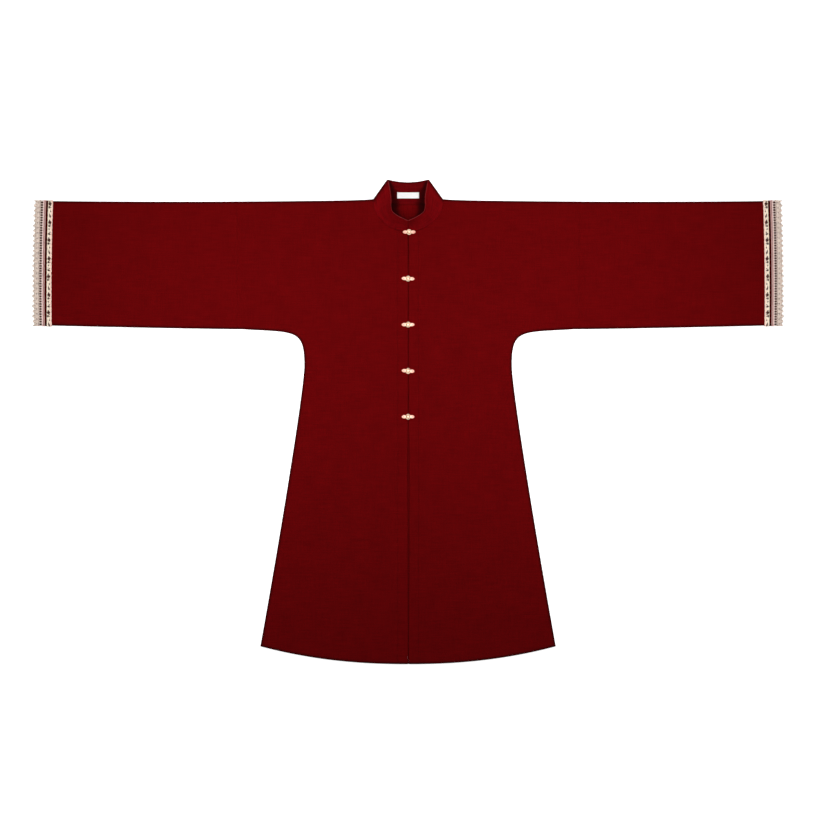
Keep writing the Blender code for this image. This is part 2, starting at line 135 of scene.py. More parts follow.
print("deep red is", [round(v, 4) for v in linear("#670508")[:3]], "in linear light")

# %% [markdown]
# ## The floor and the light
#
# A stylist lays the robe on a white sweep. The floor here glows almost white by itself and is
# wide enough for a low view too. It sends no light back up at the robe, so the rolled edges
# of the cloth stay dark against it.
#
# Two long strip boxes hang low over the sleeves, one each side. They keep the chest and the
# upper sleeves bright and let the cuffs and the hem fall off, and each placket edge, collar
# side and fold turns one face to the light and one away from it. A weak far light from beyond
# the shoulders brings out what lies across the robe, such as the hem and the collar's front.
# A white card hangs over the robe, as for any shot of metal or satin, and the camera looks
# through it as through the hole that is cut for a lens. Clasps, ribbon and lace reflect it.

# %% Floor
FLOOR_SIZE = 60.0
FLOOR_GLOW = 0.9
FLOOR_DROP = 0.5 * MM


def stage_square(name, size, height, material, corner_order):
    """A level square of the stage that sends no soft light on to the robe."""
    half = size / 2
    mesh = bpy.data.meshes.new(name)
    mesh.from_pydata([(-half, -half, 0), (half, -half, 0), (half, half, 0), (-half, half, 0)],
                     [], [corner_order])
    mesh.materials.append(material)
    square = bpy.data.objects.new(name, mesh)
    square.location.z = height
    square.visible_diffuse = False
    scene.collection.objects.link(square)
    square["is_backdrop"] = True
    print(name, size, "m square")
    return square


paper, _, _ = new_material("matt white paper sweep", Base_Color=linear("#ffffff"), Roughness=1.0,
                           Emission_Color=linear("#ffffff"), Emission_Strength=FLOOR_GLOW)
stage_square("floor", FLOOR_SIZE, -FLOOR_DROP, paper, (0, 1, 2, 3))

# %% Lights
STRIP_PLACE = Vector((0.50, SHOULDER_Y - 0.21, 0.85))
STRIP_SIZE = (0.2, 1.15)
STRIP_POWER = 5.32
SKY = 0.09
WINDOW_RISE = math.radians(38)
WINDOW_SOFTNESS = math.radians(25)
WINDOW_POWER = 0.73
CARD_HEIGHT = 3.0
CARD_SIZE = 4.4
CARD_GLOW = 1.5


def add_strip_box(name, place):
    """A long area light that looks straight down; the camera doesn't see it."""
    data = bpy.data.lights.new(name, "AREA")
    data.shape = "RECTANGLE"
    data.size, data.size_y = STRIP_SIZE
    data.energy = STRIP_POWER
    light = bpy.data.objects.new(name, data)
    light.location = place
    light.visible_camera = False
    scene.collection.objects.link(light)


for side in (-1, 1):
    add_strip_box(f"strip box {side:+d}", STRIP_PLACE * Vector((side, 1, 1)))
window_data = bpy.data.lights.new("far window", "SUN")
window_data.energy = WINDOW_POWER
window_data.angle = WINDOW_SOFTNESS
window = bpy.data.objects.new("far window", window_data)
window.rotation_euler = (WINDOW_RISE - math.pi / 2, 0, 0)
scene.collection.objects.link(window)
card_paper, _, _ = new_material("white card", Base_Color=linear("#000000"),
                                Emission_Color=linear("#ffffff"), Emission_Strength=CARD_GLOW)
card = stage_square("white card", CARD_SIZE, CARD_HEIGHT, card_paper, (0, 3, 2, 1))
card.visible_camera = False
card.visible_shadow = False
world = bpy.data.worlds.new("pale studio")
world.use_nodes = True
background = world.node_tree.nodes["Background"]
background.inputs["Color"].default_value = linear("#ffffff")
background.inputs["Strength"].default_value = SKY
scene.world = world
scene.view_settings.view_transform = "Standard"
print("2 strip boxes, a far window, a card and a pale sky")

# %% [markdown]
# ## Turning points into pieces
#
# Cloth pieces are worked out as a grid of points, row by row, in NumPy. A few helpers turn
# such a grid into a mesh, give it a cloth's thickness with Solidify and Bevel, and bake those
# modifiers, because a finished piece should be a plain mesh at the origin. Faces must point
# out of a closed piece, so the signed volume is checked and the faces are turned if it is
# negative. A number that a material needs at each vertex is stored as an attribute.


# %% Mesh helpers
def grid_mesh(name, points, around=False, looped=False, uv=None):
    """A mesh of quads from an array of points (rows, columns, 3).

    around joins the two ends of each row, and the open ends of that tube are capped. looped
    joins the last row to the first. uv is an array (rows, columns, 2), with one more row
    where the rows are looped.
    """
    rows, columns, _ = points.shape
    i, j = np.meshgrid(np.arange(rows if looped else rows - 1),
                       np.arange(columns if around else columns - 1), indexing="ij")
    corners = [((i + di), (j + dj) % columns) for di, dj in ((0, 0), (0, 1), (1, 1), (1, 0))]
    faces = np.stack([ci % rows * columns + cj for ci, cj in corners], -1).reshape(-1, 4).tolist()
    quads = len(faces)
    if around and not looped:
        faces += [list(range(columns))[::-1], list(range((rows - 1) * columns, rows * columns))]
    mesh = bpy.data.meshes.new(name)
    mesh.from_pydata(points.reshape(-1, 3).tolist(), [], faces)
    if uv is not None:
        values = np.zeros((len(mesh.loops), 2))
        values[:4 * quads] = np.stack([uv[ci, cj] for ci, cj in corners], 2).reshape(-1, 2)
        mesh.uv_layers.new(name="cut").data.foreach_set("uv", values.ravel())
    return mesh


def new_piece(name, mesh, material):
    piece = bpy.data.objects.new(name, mesh)
    mesh.materials.clear()
    mesh.materials.append(material)
    scene.collection.objects.link(piece)
    return piece


def bake_modifiers(piece):
    """Replace the piece's mesh by what its modifiers make of it, and remove them."""
    graph = bpy.context.evaluated_depsgraph_get()
    graph.update()
    baked = bpy.data.meshes.new_from_object(piece.evaluated_get(graph))
    piece.modifiers.clear()
    piece.data = baked
    baked.name = piece.name
    return piece


def face_outwards(mesh):
    bm = bmesh.new()
    bm.from_mesh(mesh)
    if bm.calc_volume(signed=True) < 0:
        bmesh.ops.reverse_faces(bm, faces=bm.faces)
        bm.to_mesh(mesh)
    bm.free()


CREASE_ANGLE = math.radians(50)


def make_cloth(piece, thickness, edge_round):
    """Thicken a sheet evenly to both sides and round its edges, as turned cloth is."""
    wall = piece.modifiers.new("thickness", "SOLIDIFY")
    wall.thickness = thickness
    wall.offset = 0.0
    wall.use_even_offset = True
    edge = piece.modifiers.new("round edge", "BEVEL")
    edge.width = edge_round
    edge.segments = 2
    edge.limit_method = "ANGLE"
    edge.angle_limit = CREASE_ANGLE
    bake_modifiers(piece)
    face_outwards(piece.data)
    piece.data.shade_smooth()
    return piece


def triangles(piece):
    piece.data.calc_loop_triangles()
    return len(piece.data.loop_triangles)


def join_body(piece, slot, *nodes):
    """The piece goes with the robe and stands for its solids. Its slot is not used."""
    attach(piece, "root")
    if nodes:
        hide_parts(*nodes)
    print(piece.name, triangles(piece), "triangles")
    return piece


print("mesh helpers ready")

# %% Closed pieces and numbers at their vertices


def closed_piece(name, section, material, slot, *nodes, smooth_faces=True, **grid):
    """A piece drawn as one closed section that is swept along: collar, label, ribbon, and the cuff's
    dark sheet of painted shade.
    """
    mesh = grid_mesh(name, section, around=True, **grid)
    face_outwards(mesh)
    piece = new_piece(name, mesh, material)
    if smooth_faces:
        mesh.shade_smooth()
    return join_body(piece, slot, *nodes)


def vertex_places(mesh):
    """Where the vertices are, a row for each."""
    places = np.empty(3 * len(mesh.vertices))
    mesh.vertices.foreach_get("co", places)
    return places.reshape(-1, 3)


def keep_at_vertices(mesh, name, values):
    """Store a number for each vertex under a name that a material can read."""
    mesh.attributes.new(name, "FLOAT", "POINT").data.foreach_set("value", values)


print("helpers for closed pieces ready")

# %% [markdown]
# ## The cut of the robe
#
# The robe is cut flat. The shoulder line runs almost straight to the cuffs, the sleeve's lower
# edge has a slight belly, the underarm is round, and the side seam flares to a curved hem.
# These are the solids' own curves, written once more for whole arrays of points, except that
# the neckline runs 1 to 2 mm further in, because its edge is sewn into the collar's foot.
#
# Lengths down the robe are measured from the shoulder line and are negative below it.

# %% Outline of the robe
CLOTH = 1.2 * MM
SEAM_GAP = 0.3 * MM
SEWN_GAP = 0.02 * MM
FOLD_LOW_X = 0.560
FOLD_LOW_Y = -0.0018
FOLD_CURVE = 0.0182
FOLD_NECK_RISE = 2.0 * MM
FOLD_NECK_REACH = 0.025
SLEEVE_JOIN_X = 0.410
SLEEVE_END_X = 0.8815
SLEEVE_DEPTH = 0.2993
SLEEVE_BELLY = 0.0086
BELLY_X = 0.397
BELLY_SPAN = 0.456
BELLY_POWER = 1.3
CUFF_SLANT = 3.5 * MM
CUFF_BOW = 1.9 * MM
UNDERARM = np.array([(0.3974, -0.3079), (0.2710, -0.3162), (0.2490, -0.3056), (0.2490, -0.3948)])
SIDE_SEAM = np.array([(0.2490, -0.3948), (0.2490, -0.4513), (0.3118, -0.8316), (0.3545, -1.0685)])
HEM_POWER = 2.2
NECK_X = 0.0843
NECK_FRONT_Y = -0.0739
NECK_BACK_Y = -0.0065
# The front edges: place down the robe, half the gap between them, how far it lies off centre
OPENING = np.array([
    # y,      half,  aside, all in millimetres
    (-1110.0, 1.3, 0.6),
    (-1000.0, 1.5, 0.9),
    (-850.0, 1.9, 1.1),
    (-600.0, 2.5, 1.0),
    (-530.0, 1.5, 0.7),
    (-300.0, 1.2, 0.7),
    (-120.0, 1.5, 0.8),
    (-74.0, 0.75, 0.0),
]) * MM


def lerp(a, b, t):
    return a + (b - a) * t


def smooth(t):
    t = np.clip(t, 0, 1)
    return t * t * (3 - 2 * t)


def cubic(control, t):
    """Points of the cubic Bezier curve with these four control points."""
    t = np.asarray(t)[:, None]
    a, b, c, d = control
    return a * (1 - t) ** 3 + 3 * b * t * (1 - t) ** 2 + 3 * c * t ** 2 * (1 - t) + d * t ** 3


def fold_y(x):
    neck_rise = FOLD_NECK_RISE * np.exp(-np.maximum(x - NECK_X, 0) / FOLD_NECK_REACH)
    return FOLD_LOW_Y + FOLD_CURVE * (x - FOLD_LOW_X) ** 2 + neck_rise


def sleeve_bottom_y(x):
    along = np.maximum(x - BELLY_X, 0) / BELLY_SPAN
    return -SLEEVE_DEPTH - SLEEVE_BELLY * (1 - along ** BELLY_POWER)


def hem_y(x):
    corner_x, corner_y = SIDE_SEAM[-1]
    return -ROBE_LENGTH + (corner_y + ROBE_LENGTH) * (x / corner_x) ** HEM_POWER


def front_edge_x(y, side):
    """How far out from the centre line the front edge of a half lies."""
    place, half, aside = OPENING.T
    return np.interp(y, place, half) + side * np.interp(y, place, aside)


def cuff_shift(y):
    """The cuff isn't quite square: it stands out further the lower it is, in a slight bow."""
    down = -y / SLEEVE_DEPTH
    return CUFF_SLANT * down + 4 * CUFF_BOW * down * (1 - down)


print("sleeve", round(float(-sleeve_bottom_y(np.array(0.6))), 3), "m deep, hem",
      round(2 * SIDE_SEAM[-1][0], 3), "m wide")

# %% [markdown]
# ## How the layers lie
#
# Back and front lie on each other with a little air between them. The air is thinnest along a
# seam and at the cuffs, which are pressed, and thickest round the neck, where the standing
# collar lifts the front. The facing folded under each front edge makes a raised band, the
# placket. The cuff lies on its own braid and lace, so the cloth rises a little towards it.

# %% Heights of the two layers
PUFF = 1.2 * MM
PUFF_REACH = 0.030
NECK_LIFT = 1.4 * MM
NECK_LIFT_REACH = 0.045
PLACKET_WIDTH = 0.0262
PLACKET_EDGE = 2.5 * MM
PLACKET_RAISE = 0.5 * MM
TRIM = 1.0 * MM
CUFF_RISE_FROM = 0.800
CUFF_RISE_TO = 0.845
CUFF_RISE = TRIM + SEAM_GAP
SEAM_STEPS = 24

shares = np.linspace(0, 1, SEAM_STEPS + 1)
sleeve_x = lerp(SLEEVE_END_X, BELLY_X, shares)
SEAM_LINE = np.concatenate([np.stack([sleeve_x, sleeve_bottom_y(sleeve_x)], axis=1),
                            cubic(UNDERARM, shares)[1:], cubic(SIDE_SEAM, shares)[1:]])


def line_distance(line, x, y):
    """How far each point is from a line of points."""
    points = np.stack([x, y], axis=-1).reshape(-1, 1, 2)
    start, along = line[:-1], np.diff(line, axis=0)
    t = ((points - start) * along).sum(-1) / (along ** 2).sum(-1)
    gap = points - (start + np.clip(t, 0, 1)[..., None] * along)
    return np.sqrt((gap ** 2).sum(-1)).min(axis=1).reshape(np.shape(x))


def seam_distance(x, y):
    """How far each point is from the sewn edge under the sleeve and down the side."""
    return line_distance(SEAM_LINE, x, y)


def edge_distance(x, y):
    """How far each point is from the nearest turned edge: seam, shoulder fold or hem."""
    to_hem = np.where(x < SIDE_SEAM[-1][0], y - hem_y(np.minimum(x, SIDE_SEAM[-1][0])), 1.0)
    return np.minimum(np.minimum(seam_distance(x, y), np.abs(fold_y(x) - y)), np.abs(to_hem))


def neck_distance(x, y):
    """How far each point lies outside the front neckline, nearly enough for its lift."""
    middle = fold_y(np.array(NECK_X))
    drop = middle - NECK_FRONT_Y
    scale = np.hypot(x / NECK_X, np.minimum(y - middle, 0) / drop)
    return np.maximum(scale - 1, 0) * (NECK_X + drop) / 2


def cuff_share(x):
    return smooth((x - CUFF_RISE_FROM) / (CUFF_RISE_TO - CUFF_RISE_FROM))


def back_z(x):
    """Height of the middle of the back layer."""
    return CLOTH / 2 + CUFF_RISE * cuff_share(x)


def layer_gap(x, y):
    puff = PUFF * (1 - np.exp(-seam_distance(x, y) / PUFF_REACH)) * (1 - cuff_share(x))
    lift = NECK_LIFT * np.exp(-(neck_distance(x, y) / NECK_LIFT_REACH) ** 2)
    return SEAM_GAP + puff + lift


def placket(x, y):
    raised = PLACKET_RAISE * (1 - smooth((x - PLACKET_WIDTH) / PLACKET_EDGE))
    return np.where(y > NECK_FRONT_Y, 0.0, raised)


print("seam line of", len(SEAM_LINE), "points")

# %% [markdown]
# ## Handling marks
#
# Cloth that has been sewn, pressed and laid out is never quite flat. The seam allowances and
# the turned-up hem press through as faint bands, the round underarm pulls a few short creases,
# and the whole panel rolls very slightly. All of these only ever lift the front layer.
#
# Such marks could be sculpted by hand. Here they are formulas: the distance from a seam, an
# edge or the underarm gives the pressed marks, and a few long waves give the rolls. So they
# follow the cut exactly, and are part of the mesh.

# %% Relief of the front layer
ALLOWANCE = 0.012
ALLOWANCE_RAISE = 0.22 * MM
HEM_TURN = 0.020
HEM_RAISE = 0.30 * MM
PRESSED_EDGE = 3.0 * MM
CREASE_CENTRE = (0.318, -0.372)
CREASE_RADIUS = 0.075
CREASE_COUNT = 26
CREASE_HEIGHT = 0.55 * MM
CREASE_REACH = 0.030
ROLL_HEIGHT = 0.30 * MM
ROLL_FADE = 0.05
ROLL_WAVES = ((0.17, 0.9, 0.4), (0.23, 2.3, 1.9), (0.12, 0.2, 3.1), (0.10, 1.5, 5.0))


def pressed_band(distance, width):
    """1 inside a band along an edge and 0 beyond it, with a soft step."""
    return 1 - smooth((distance - width) / PRESSED_EDGE + 0.5)


def rolls(x, y):
    """A slow unevenness: waves given by their length in metres, direction and phase."""
    total = 0
    for length, direction, phase in ROLL_WAVES:
        across = x * math.cos(direction) + y * math.sin(direction)
        total = total + np.sin(2 * math.pi * across / length + phase)
    return ROLL_HEIGHT * (1 + total / len(ROLL_WAVES))


def relief(x, y, side):
    """Height of the marks; x is the distance from the centre line, side is +1 or -1."""
    seam = seam_distance(x, y)
    marks = ALLOWANCE_RAISE * pressed_band(seam, ALLOWANCE)
    marks = marks + HEM_RAISE * pressed_band(y - hem_y(x), HEM_TURN) * (y < SIDE_SEAM[0][1])
    turn = np.arctan2(y - CREASE_CENTRE[1], x - CREASE_CENTRE[0])
    reach = np.hypot(y - CREASE_CENTRE[1], x - CREASE_CENTRE[0]) - CREASE_RADIUS
    creases = np.cos(CREASE_COUNT * turn) * np.exp(-(reach / CREASE_REACH) ** 2)
    marks = marks + CREASE_HEIGHT * np.maximum(creases, 0)
    loose = smooth(seam / ROLL_FADE) * smooth((x - PLACKET_WIDTH) / ROLL_FADE)
    return marks + rolls(side * x, y) * loose * (1 - cuff_share(x))


def front_z(x, y, side=1):
    """Height of the middle of the front layer."""
    return back_z(x) + CLOTH + layer_gap(x, y) + placket(x, y) + relief(x, y, side)


probe = front_z(np.array([0.02, 0.2]), np.array([-0.6, -0.6]))
print("front layer is", (probe / MM).round(2), "mm up at the placket and beside it")

# %% [markdown]
# ## The cloth
#
# The robe is a plain-woven cloth of slubby deep-red yarn with a brushed, matt face. Three
# things make it read as cloth and not as card. The weave is a bump of warp and weft threads.
# The slubs are long thin streaks along both threads, a shade lighter or darker. The short
# fibres that stand up give a soft sheen on every edge that turns away.
#
# The real threads are 0.5 mm apart, finer than one pixel of the picture. They are drawn
# 1.2 mm apart, so that the weave still shows, and the slubs are drawn at their real length.
# Noise and sine waves make them, because a tiled image would show its repeat, and blur in a
# close view.

# %% Cloth material
THREAD_PITCH = 1.2 * MM
THREAD_HEIGHT = 0.12 * MM
THREAD_STRENGTH = 0.5
SLUB = (45.0 * MM, 2.6 * MM)
SLUB_HEIGHT = 4.0
MOTTLE = 0.05
# How much each counts in the tone, and which part of its range runs from dark to light
MOTTLE_SHARE = 0.2
WARP_SHARE = 0.3
WEFT_SHARE = 0.5
DARK_AT = 0.40
LIGHT_AT = 0.60
# Along a turned edge the colour is darkened as painted shade: how wide, in mm, and how much of it
EDGE_SHADE_WIDTH = 5.0
EDGE_SHADE_MOST = 0.62


def streaks(tree, vector, size):
    """Soft noise, from 0 to 1 about a half, stretched to a size in metres along x and y."""
    scaled = add_node(tree, "ShaderNodeMapping",
                      {"Vector": vector, "Scale": (1 / size[0], 1 / size[1], 1.0)})
    return add_node(tree, "ShaderNodeTexNoise",
                    {"Vector": scaled, "Scale": 1.0, "Detail": 3.0, "Roughness": 0.6})


def woven_cloth(name, dark, light, coordinates="Object", **constants):
    """Plain-woven cloth: a colour mottled by slubs, and a bump of crossing threads."""
    material, tree, shader = new_material(name, **constants)
    place = add_node(tree, "ShaderNodeTexCoord").outputs[coordinates]
    tone = 0.0
    for size, share in (((MOTTLE, MOTTLE), MOTTLE_SHARE), (SLUB[::-1], WARP_SHARE),
                        (SLUB, WEFT_SHARE)):
        tone = add_node(tree, "ShaderNodeMath", {0: streaks(tree, place, size), 1: share, 2: tone},
                        operation="MULTIPLY_ADD")
    share = add_node(tree, "ShaderNodeMapRange",
                     {"Value": tone, "From Min": DARK_AT, "From Max": LIGHT_AT})
    yarn = add_node(tree, "ShaderNodeMix", {0: share, 6: linear(dark), 7: linear(light)},
                    data_type="RGBA")
    # Painted shade: inside the neck, along the front opening and along turned edges the colour is
    # darkened towards a near-black red
    crushed = add_node(tree, "ShaderNodeAttribute", attribute_name="crushed")
    turned = add_node(tree, "ShaderNodeAttribute", attribute_name="turned")
    edge_shade = add_node(tree, "ShaderNodeMapRange",
                      {"Value": turned.outputs["Fac"], "From Max": EDGE_SHADE_WIDTH,
                       "To Max": EDGE_SHADE_MOST})
    shade = add_node(tree, "ShaderNodeMath", {0: crushed.outputs["Fac"], 1: edge_shade},
                     operation="MAXIMUM")
    colour = add_node(tree, "ShaderNodeMix", {0: shade, 6: yarn.outputs[2],
                                              7: linear("#170102")}, data_type="RGBA")
    tree.links.new(colour.outputs[2], shader.inputs["Base Color"])

    axes = add_node(tree, "ShaderNodeSeparateXYZ", {0: place})
    ridges = []
    for axis in (0, 1):
        turns = add_node(tree, "ShaderNodeMath",
                         {0: axes.outputs[axis], 1: 2 * math.pi / THREAD_PITCH},
                         operation="MULTIPLY")
        ridges.append(add_node(tree, "ShaderNodeMath", {0: turns}, operation="SINE"))
    weave = add_node(tree, "ShaderNodeMath", {0: ridges[0], 1: ridges[1]}, operation="MULTIPLY")
    height = add_node(tree, "ShaderNodeMath", {0: tone, 1: SLUB_HEIGHT, 2: weave},
                      operation="MULTIPLY_ADD")
    bump = add_node(tree, "ShaderNodeBump", {"Height": height, "Distance": THREAD_HEIGHT,
                                             "Strength": THREAD_STRENGTH})
    tree.links.new(bump.outputs[0], shader.inputs["Normal"])
    return material


CLOTH_FINISH = {"Roughness": 0.95, "Specular_IOR_Level": 0.03, "Sheen_Weight": 0.10,
                "Sheen_Roughness": 0.5, "Sheen_Tint": linear("#b4141a")}
robe_cloth = woven_cloth("brushed plain-woven cloth, deep red", "#640205", "#730407",
                         **CLOTH_FINISH)
# The collar's copy follows the collar's grain and is painted a shade lighter, as painted light for the
# light that its sloping sides catch
collar_cloth = woven_cloth("brushed plain-woven cloth on the collar's grain", "#670308",
                           "#87060c", coordinates="UV", **CLOTH_FINISH)
print("cloth:", robe_cloth.name, "and", collar_cloth.name)

# %% [markdown]
# ## The two halves of the robe
#
# Each half is one length of cloth. It starts at the front hem, folds over the shoulder and
# ends at the back hem. A row of the grid runs from the front opening (or the centre back) out
# to the side, and its columns stand closer where the cloth has detail: at the placket's edge
# and along the side seam.
#
# Simulating this sheet would only make it less crisp, because it was pressed and laid out by
# hand. So it is worked out, with Solidify for its thickness.

# %% Rows and columns of a panel
JOIN_ROWS = 52
UNDERARM_ROWS = 54
SIDE_ROWS = 112
BACK_NECK_ROWS = 20
FOLD_STEPS = 10
FOLD_EASE = 0.016
PANEL_COLUMNS = 52
INNER_STOPS = np.array([0, 3, 9, 15, 21, 24.7, 26.2, 27.0, 27.8, 28.7, 30.5]) * MM
OUTER_STOPS = np.array([16, 13, 10, 6.5, 3, 0]) * MM


def neck_front(angle):
    """The front neckline, a quarter ellipse from the opening (0) to the shoulder (90 deg)."""
    top = fold_y(np.array(NECK_X))
    x = lerp(OPENING[-1][1], NECK_X, np.sin(angle))
    return np.stack([x, lerp(top, NECK_FRONT_Y, np.cos(angle))], axis=1)


def neck_back(t):
    """The back neckline, a shallow curve from the shoulder (0) to the centre back (1)."""
    x = lerp(NECK_X, SEWN_GAP, t)
    return np.stack([x, lerp(NECK_BACK_Y, fold_y(np.array(NECK_X)), (x / NECK_X) ** 2)], axis=1)


def panel_ends(front, side):
    """The inner and the outer end of each row, from the shoulder down to the hem."""
    down = np.linspace(0, 1, JOIN_ROWS + 1)
    join = np.full(JOIN_ROWS + 1, SLEEVE_JOIN_X)
    outer = np.concatenate([
        np.stack([join, lerp(fold_y(join), sleeve_bottom_y(join), down)], axis=1),
        cubic(UNDERARM, np.linspace(0, 1, UNDERARM_ROWS)),
        cubic(SIDE_SEAM, np.linspace(0, 1, SIDE_ROWS + 1)[1:])])

    waist_y = SIDE_SEAM[0][1]
    y = np.concatenate([np.linspace(NECK_FRONT_Y, waist_y, UNDERARM_ROWS + 1)[1:],
                        np.linspace(waist_y, -ROBE_LENGTH, SIDE_ROWS + 1)[1:]])
    if front:
        x = front_edge_x(y, side)
        neck = neck_front(math.pi / 2 * (1 - down))
    else:
        below = np.linspace(NECK_BACK_Y, NECK_FRONT_Y, JOIN_ROWS - BACK_NECK_ROWS + 1)[1:]
        y = np.concatenate([below, y])
        x = np.full(len(y), SEWN_GAP)
        neck = neck_back(np.linspace(0, 1, BACK_NECK_ROWS + 1))
    return np.concatenate([neck, np.stack([x, y], axis=1)]), outer


def column_shares(width):
    middle = np.linspace(INNER_STOPS[-1], width - OUTER_STOPS[0], PANEL_COLUMNS)[1:-1]
    return np.concatenate([INNER_STOPS, middle, width - OUTER_STOPS]) / width


def panel(front, side):
    """Plan positions of one layer of a half: arrays x and y, a row for each step down."""
    inner, outer = panel_ends(front, side)
    rows = len(inner)
    widths = np.linalg.norm(outer - inner, axis=1)
    t = np.stack([column_shares(width) for width in widths])
    x = lerp(inner[:, :1], outer[:, :1], t)
    y = lerp(inner[:, 1:], outer[:, 1:], t)
    index = np.arange(rows)[:, None]
    fold_share = np.maximum(1 - index / JOIN_ROWS, 0)
    hem_share = np.maximum(1 - (rows - 1 - index) / SIDE_ROWS, 0)
    for share, edge in ((fold_share, fold_y), (hem_share, hem_y)):
        y = y + share * (edge(x) - lerp(edge(inner[:, :1]), edge(outer[:, :1]), t))
    return x, y


x, y = panel(True, 1)
print("front panel grid", x.shape, "hem at", round(float(y.min()), 3), "m")

# %% Cloth turning over the shoulder


def fold_arc(x, y, side):
    """Rows of the cloth turning over the fold, from the front layer down to the back one."""
    low, high = back_z(x), front_z(x, y, side)
    radius = (high - low) / 2
    angle = np.linspace(0, math.pi, FOLD_STEPS + 1).reshape(-1, *[1] * np.ndim(x))
    arc_y = y - CLOTH / 2 - radius + radius * np.sin(angle)
    arc_z = low + radius + radius * np.cos(angle)
    return np.stack(np.broadcast_arrays(x, arc_y, arc_z), axis=-1)


def ease_from_fold(x, y, side):
    """Draw the rows near the fold down a little, to leave room for the turning cloth."""
    top = y[0]
    room = CLOTH / 2 + (front_z(x[0], top, side) - back_z(x[0])) / 2
    return y - room * np.maximum(1 - (top - y) / FOLD_EASE, 0)


def half_points(side):
    """Points of one half, from the front hem over the shoulder to the back hem."""
    front_x, front_y = panel(True, side)
    back_x, back_y = panel(False, side)
    arc = fold_arc(front_x[0], front_y[0], side)
    front_y = ease_from_fold(front_x, front_y, side)
    back_y = ease_from_fold(back_x, back_y, side)
    front = np.stack([front_x, front_y, front_z(front_x, front_y, side)], axis=-1)
    back = np.stack([back_x, back_y, back_z(back_x)], axis=-1)
    points = np.concatenate([front[:0:-1], arc, back[1:]])
    return points * (side, 1, 1) + (0, SHOULDER_Y, 0)


print("a half is a grid of", half_points(1).shape[:2], "points")

# %% Robe halves
SIDES = ((1, "left"), (-1, "right"))
EDGE_ROUND = 0.45 * MM


def cloth_piece(name, points, *nodes, thickness=CLOTH, edge_round=EDGE_ROUND):
    """A sheet of the robe's own cloth from a grid of points in its middle."""
    piece = new_piece(name, grid_mesh(name, points), robe_cloth)
    return join_body(make_cloth(piece, thickness, edge_round), "robe_cloth", *nodes)


robe_halves = {word: cloth_piece(f"robe_cloth_{word}", half_points(side), f"robe_half_{word}")
               for side, word in SIDES}

# %% [markdown]
# ## The ends of the sleeves
#
# The cloth is too narrow for the whole span, so each sleeve is lengthened in mid-arm by a
# second piece. It is folded at the top, open at the cuff, and closed below by the same seam.
# Two flat sheets would do for a view from above. One grid that runs up the front, round the
# fold and down the back gives the fold its roundness from the side too.

# %% Sleeve ends
SLEEVE_COLUMNS = 80
SLEEVE_ROWS = 52


def sleeve_points(side):
    base_x = np.linspace(SLEEVE_JOIN_X + SEWN_GAP, SLEEVE_END_X, SLEEVE_COLUMNS + 1)[:, None]
    arc = fold_arc(base_x[:, 0], fold_y(base_x[:, 0]), side).transpose(1, 0, 2)
    share = np.linspace(0, 1, SLEEVE_ROWS + 1)[:-1]
    y = lerp(sleeve_bottom_y(base_x), arc[:, :1, 1], share)
    x = np.broadcast_to(base_x, y.shape)
    front = np.stack([x, y, front_z(x, y, side)], axis=-1)
    back = np.stack([x, y, back_z(x)], axis=-1)[:, ::-1]
    points = np.concatenate([front, arc, back], axis=1)
    out = (points[..., 0] - SLEEVE_JOIN_X) / (SLEEVE_END_X - SLEEVE_JOIN_X)
    points[..., 0] += out * cuff_shift(points[..., 1])
    return points * (side, 1, 1) + (0, SHOULDER_Y, 0)


sleeves = {word: cloth_piece(f"sleeve_cloth_{word}", sleeve_points(side), f"sleeve_end_{word}")
           for side, word in SIDES}

# %% [markdown]
# ## The centre back seam
#
# The two halves are sewn together down the back, and the seam is pressed open. Its two
# allowances lie on the inner side of the back, where the neck and the front opening show them.
# They are narrow strips of their own with a slight ripple, which is simpler than turning back
# the edge of each half and looks the same.

# %% Back seam allowances
STRIP_WIDTH = 0.011
STRIP_THICK = 0.6 * MM
STRIP_RIPPLE = 0.12 * MM
RIPPLE_DOWN = 190
RIPPLE_OUT = 300
STRIP_ROWS = 180
STRIP_COLUMNS = 6
STRIP_FOLD_X = 0.4 * MM


def allowance_points(side):
    """One allowance. The left one is folded just past the seam, so that no light comes up."""
    fold = -side * STRIP_FOLD_X if side > 0 else STRIP_FOLD_X + SEWN_GAP
    y = np.linspace(NECK_BACK_Y - SEAM_GAP, -ROBE_LENGTH + HEM_TURN, STRIP_ROWS)[:, None]
    x = np.linspace(fold, STRIP_WIDTH, STRIP_COLUMNS)[None, :]
    x, y = np.broadcast_arrays(x, y)
    waves = 1 + np.sin(y * RIPPLE_DOWN + x * RIPPLE_OUT)
    ripple = STRIP_RIPPLE * waves * (x / STRIP_WIDTH) ** 2
    z = CLOTH + SEAM_GAP / 2 + STRIP_THICK / 2 + ripple
    return np.stack([side * x, y + SHOULDER_Y, z], axis=-1)


strips = {word: cloth_piece(f"back_seam_allowance_{word}", allowance_points(side),
                            thickness=STRIP_THICK, edge_round=STRIP_THICK / 3)
          for side, word in SIDES}

# %% [markdown]
# ## The stand collar
#
# The collar is a doubled, interlined band. It stands up from the neckline in front, and at the
# back it lies down flat with its inner side up. A tailor would describe it by its sections:
# where its foot is sewn, where its rim ends, and how far its middle hangs between the two. A
# smooth curve through the rows of that table gives the whole band.
#
# The band's wall is built as one closed section swept along it, so its rim is truly round and
# its foot is square where it meets the robe. A row of edge stitching pulls a shallow groove
# just inside the rim, and the rim itself is corded with a fine satin piping.


# %% A band with round edges
def unit(vectors):
    return vectors / np.linalg.norm(vectors, axis=-1, keepdims=True)


def surface_normals(points):
    return unit(np.cross(np.gradient(points, axis=1), np.gradient(points, axis=0)))


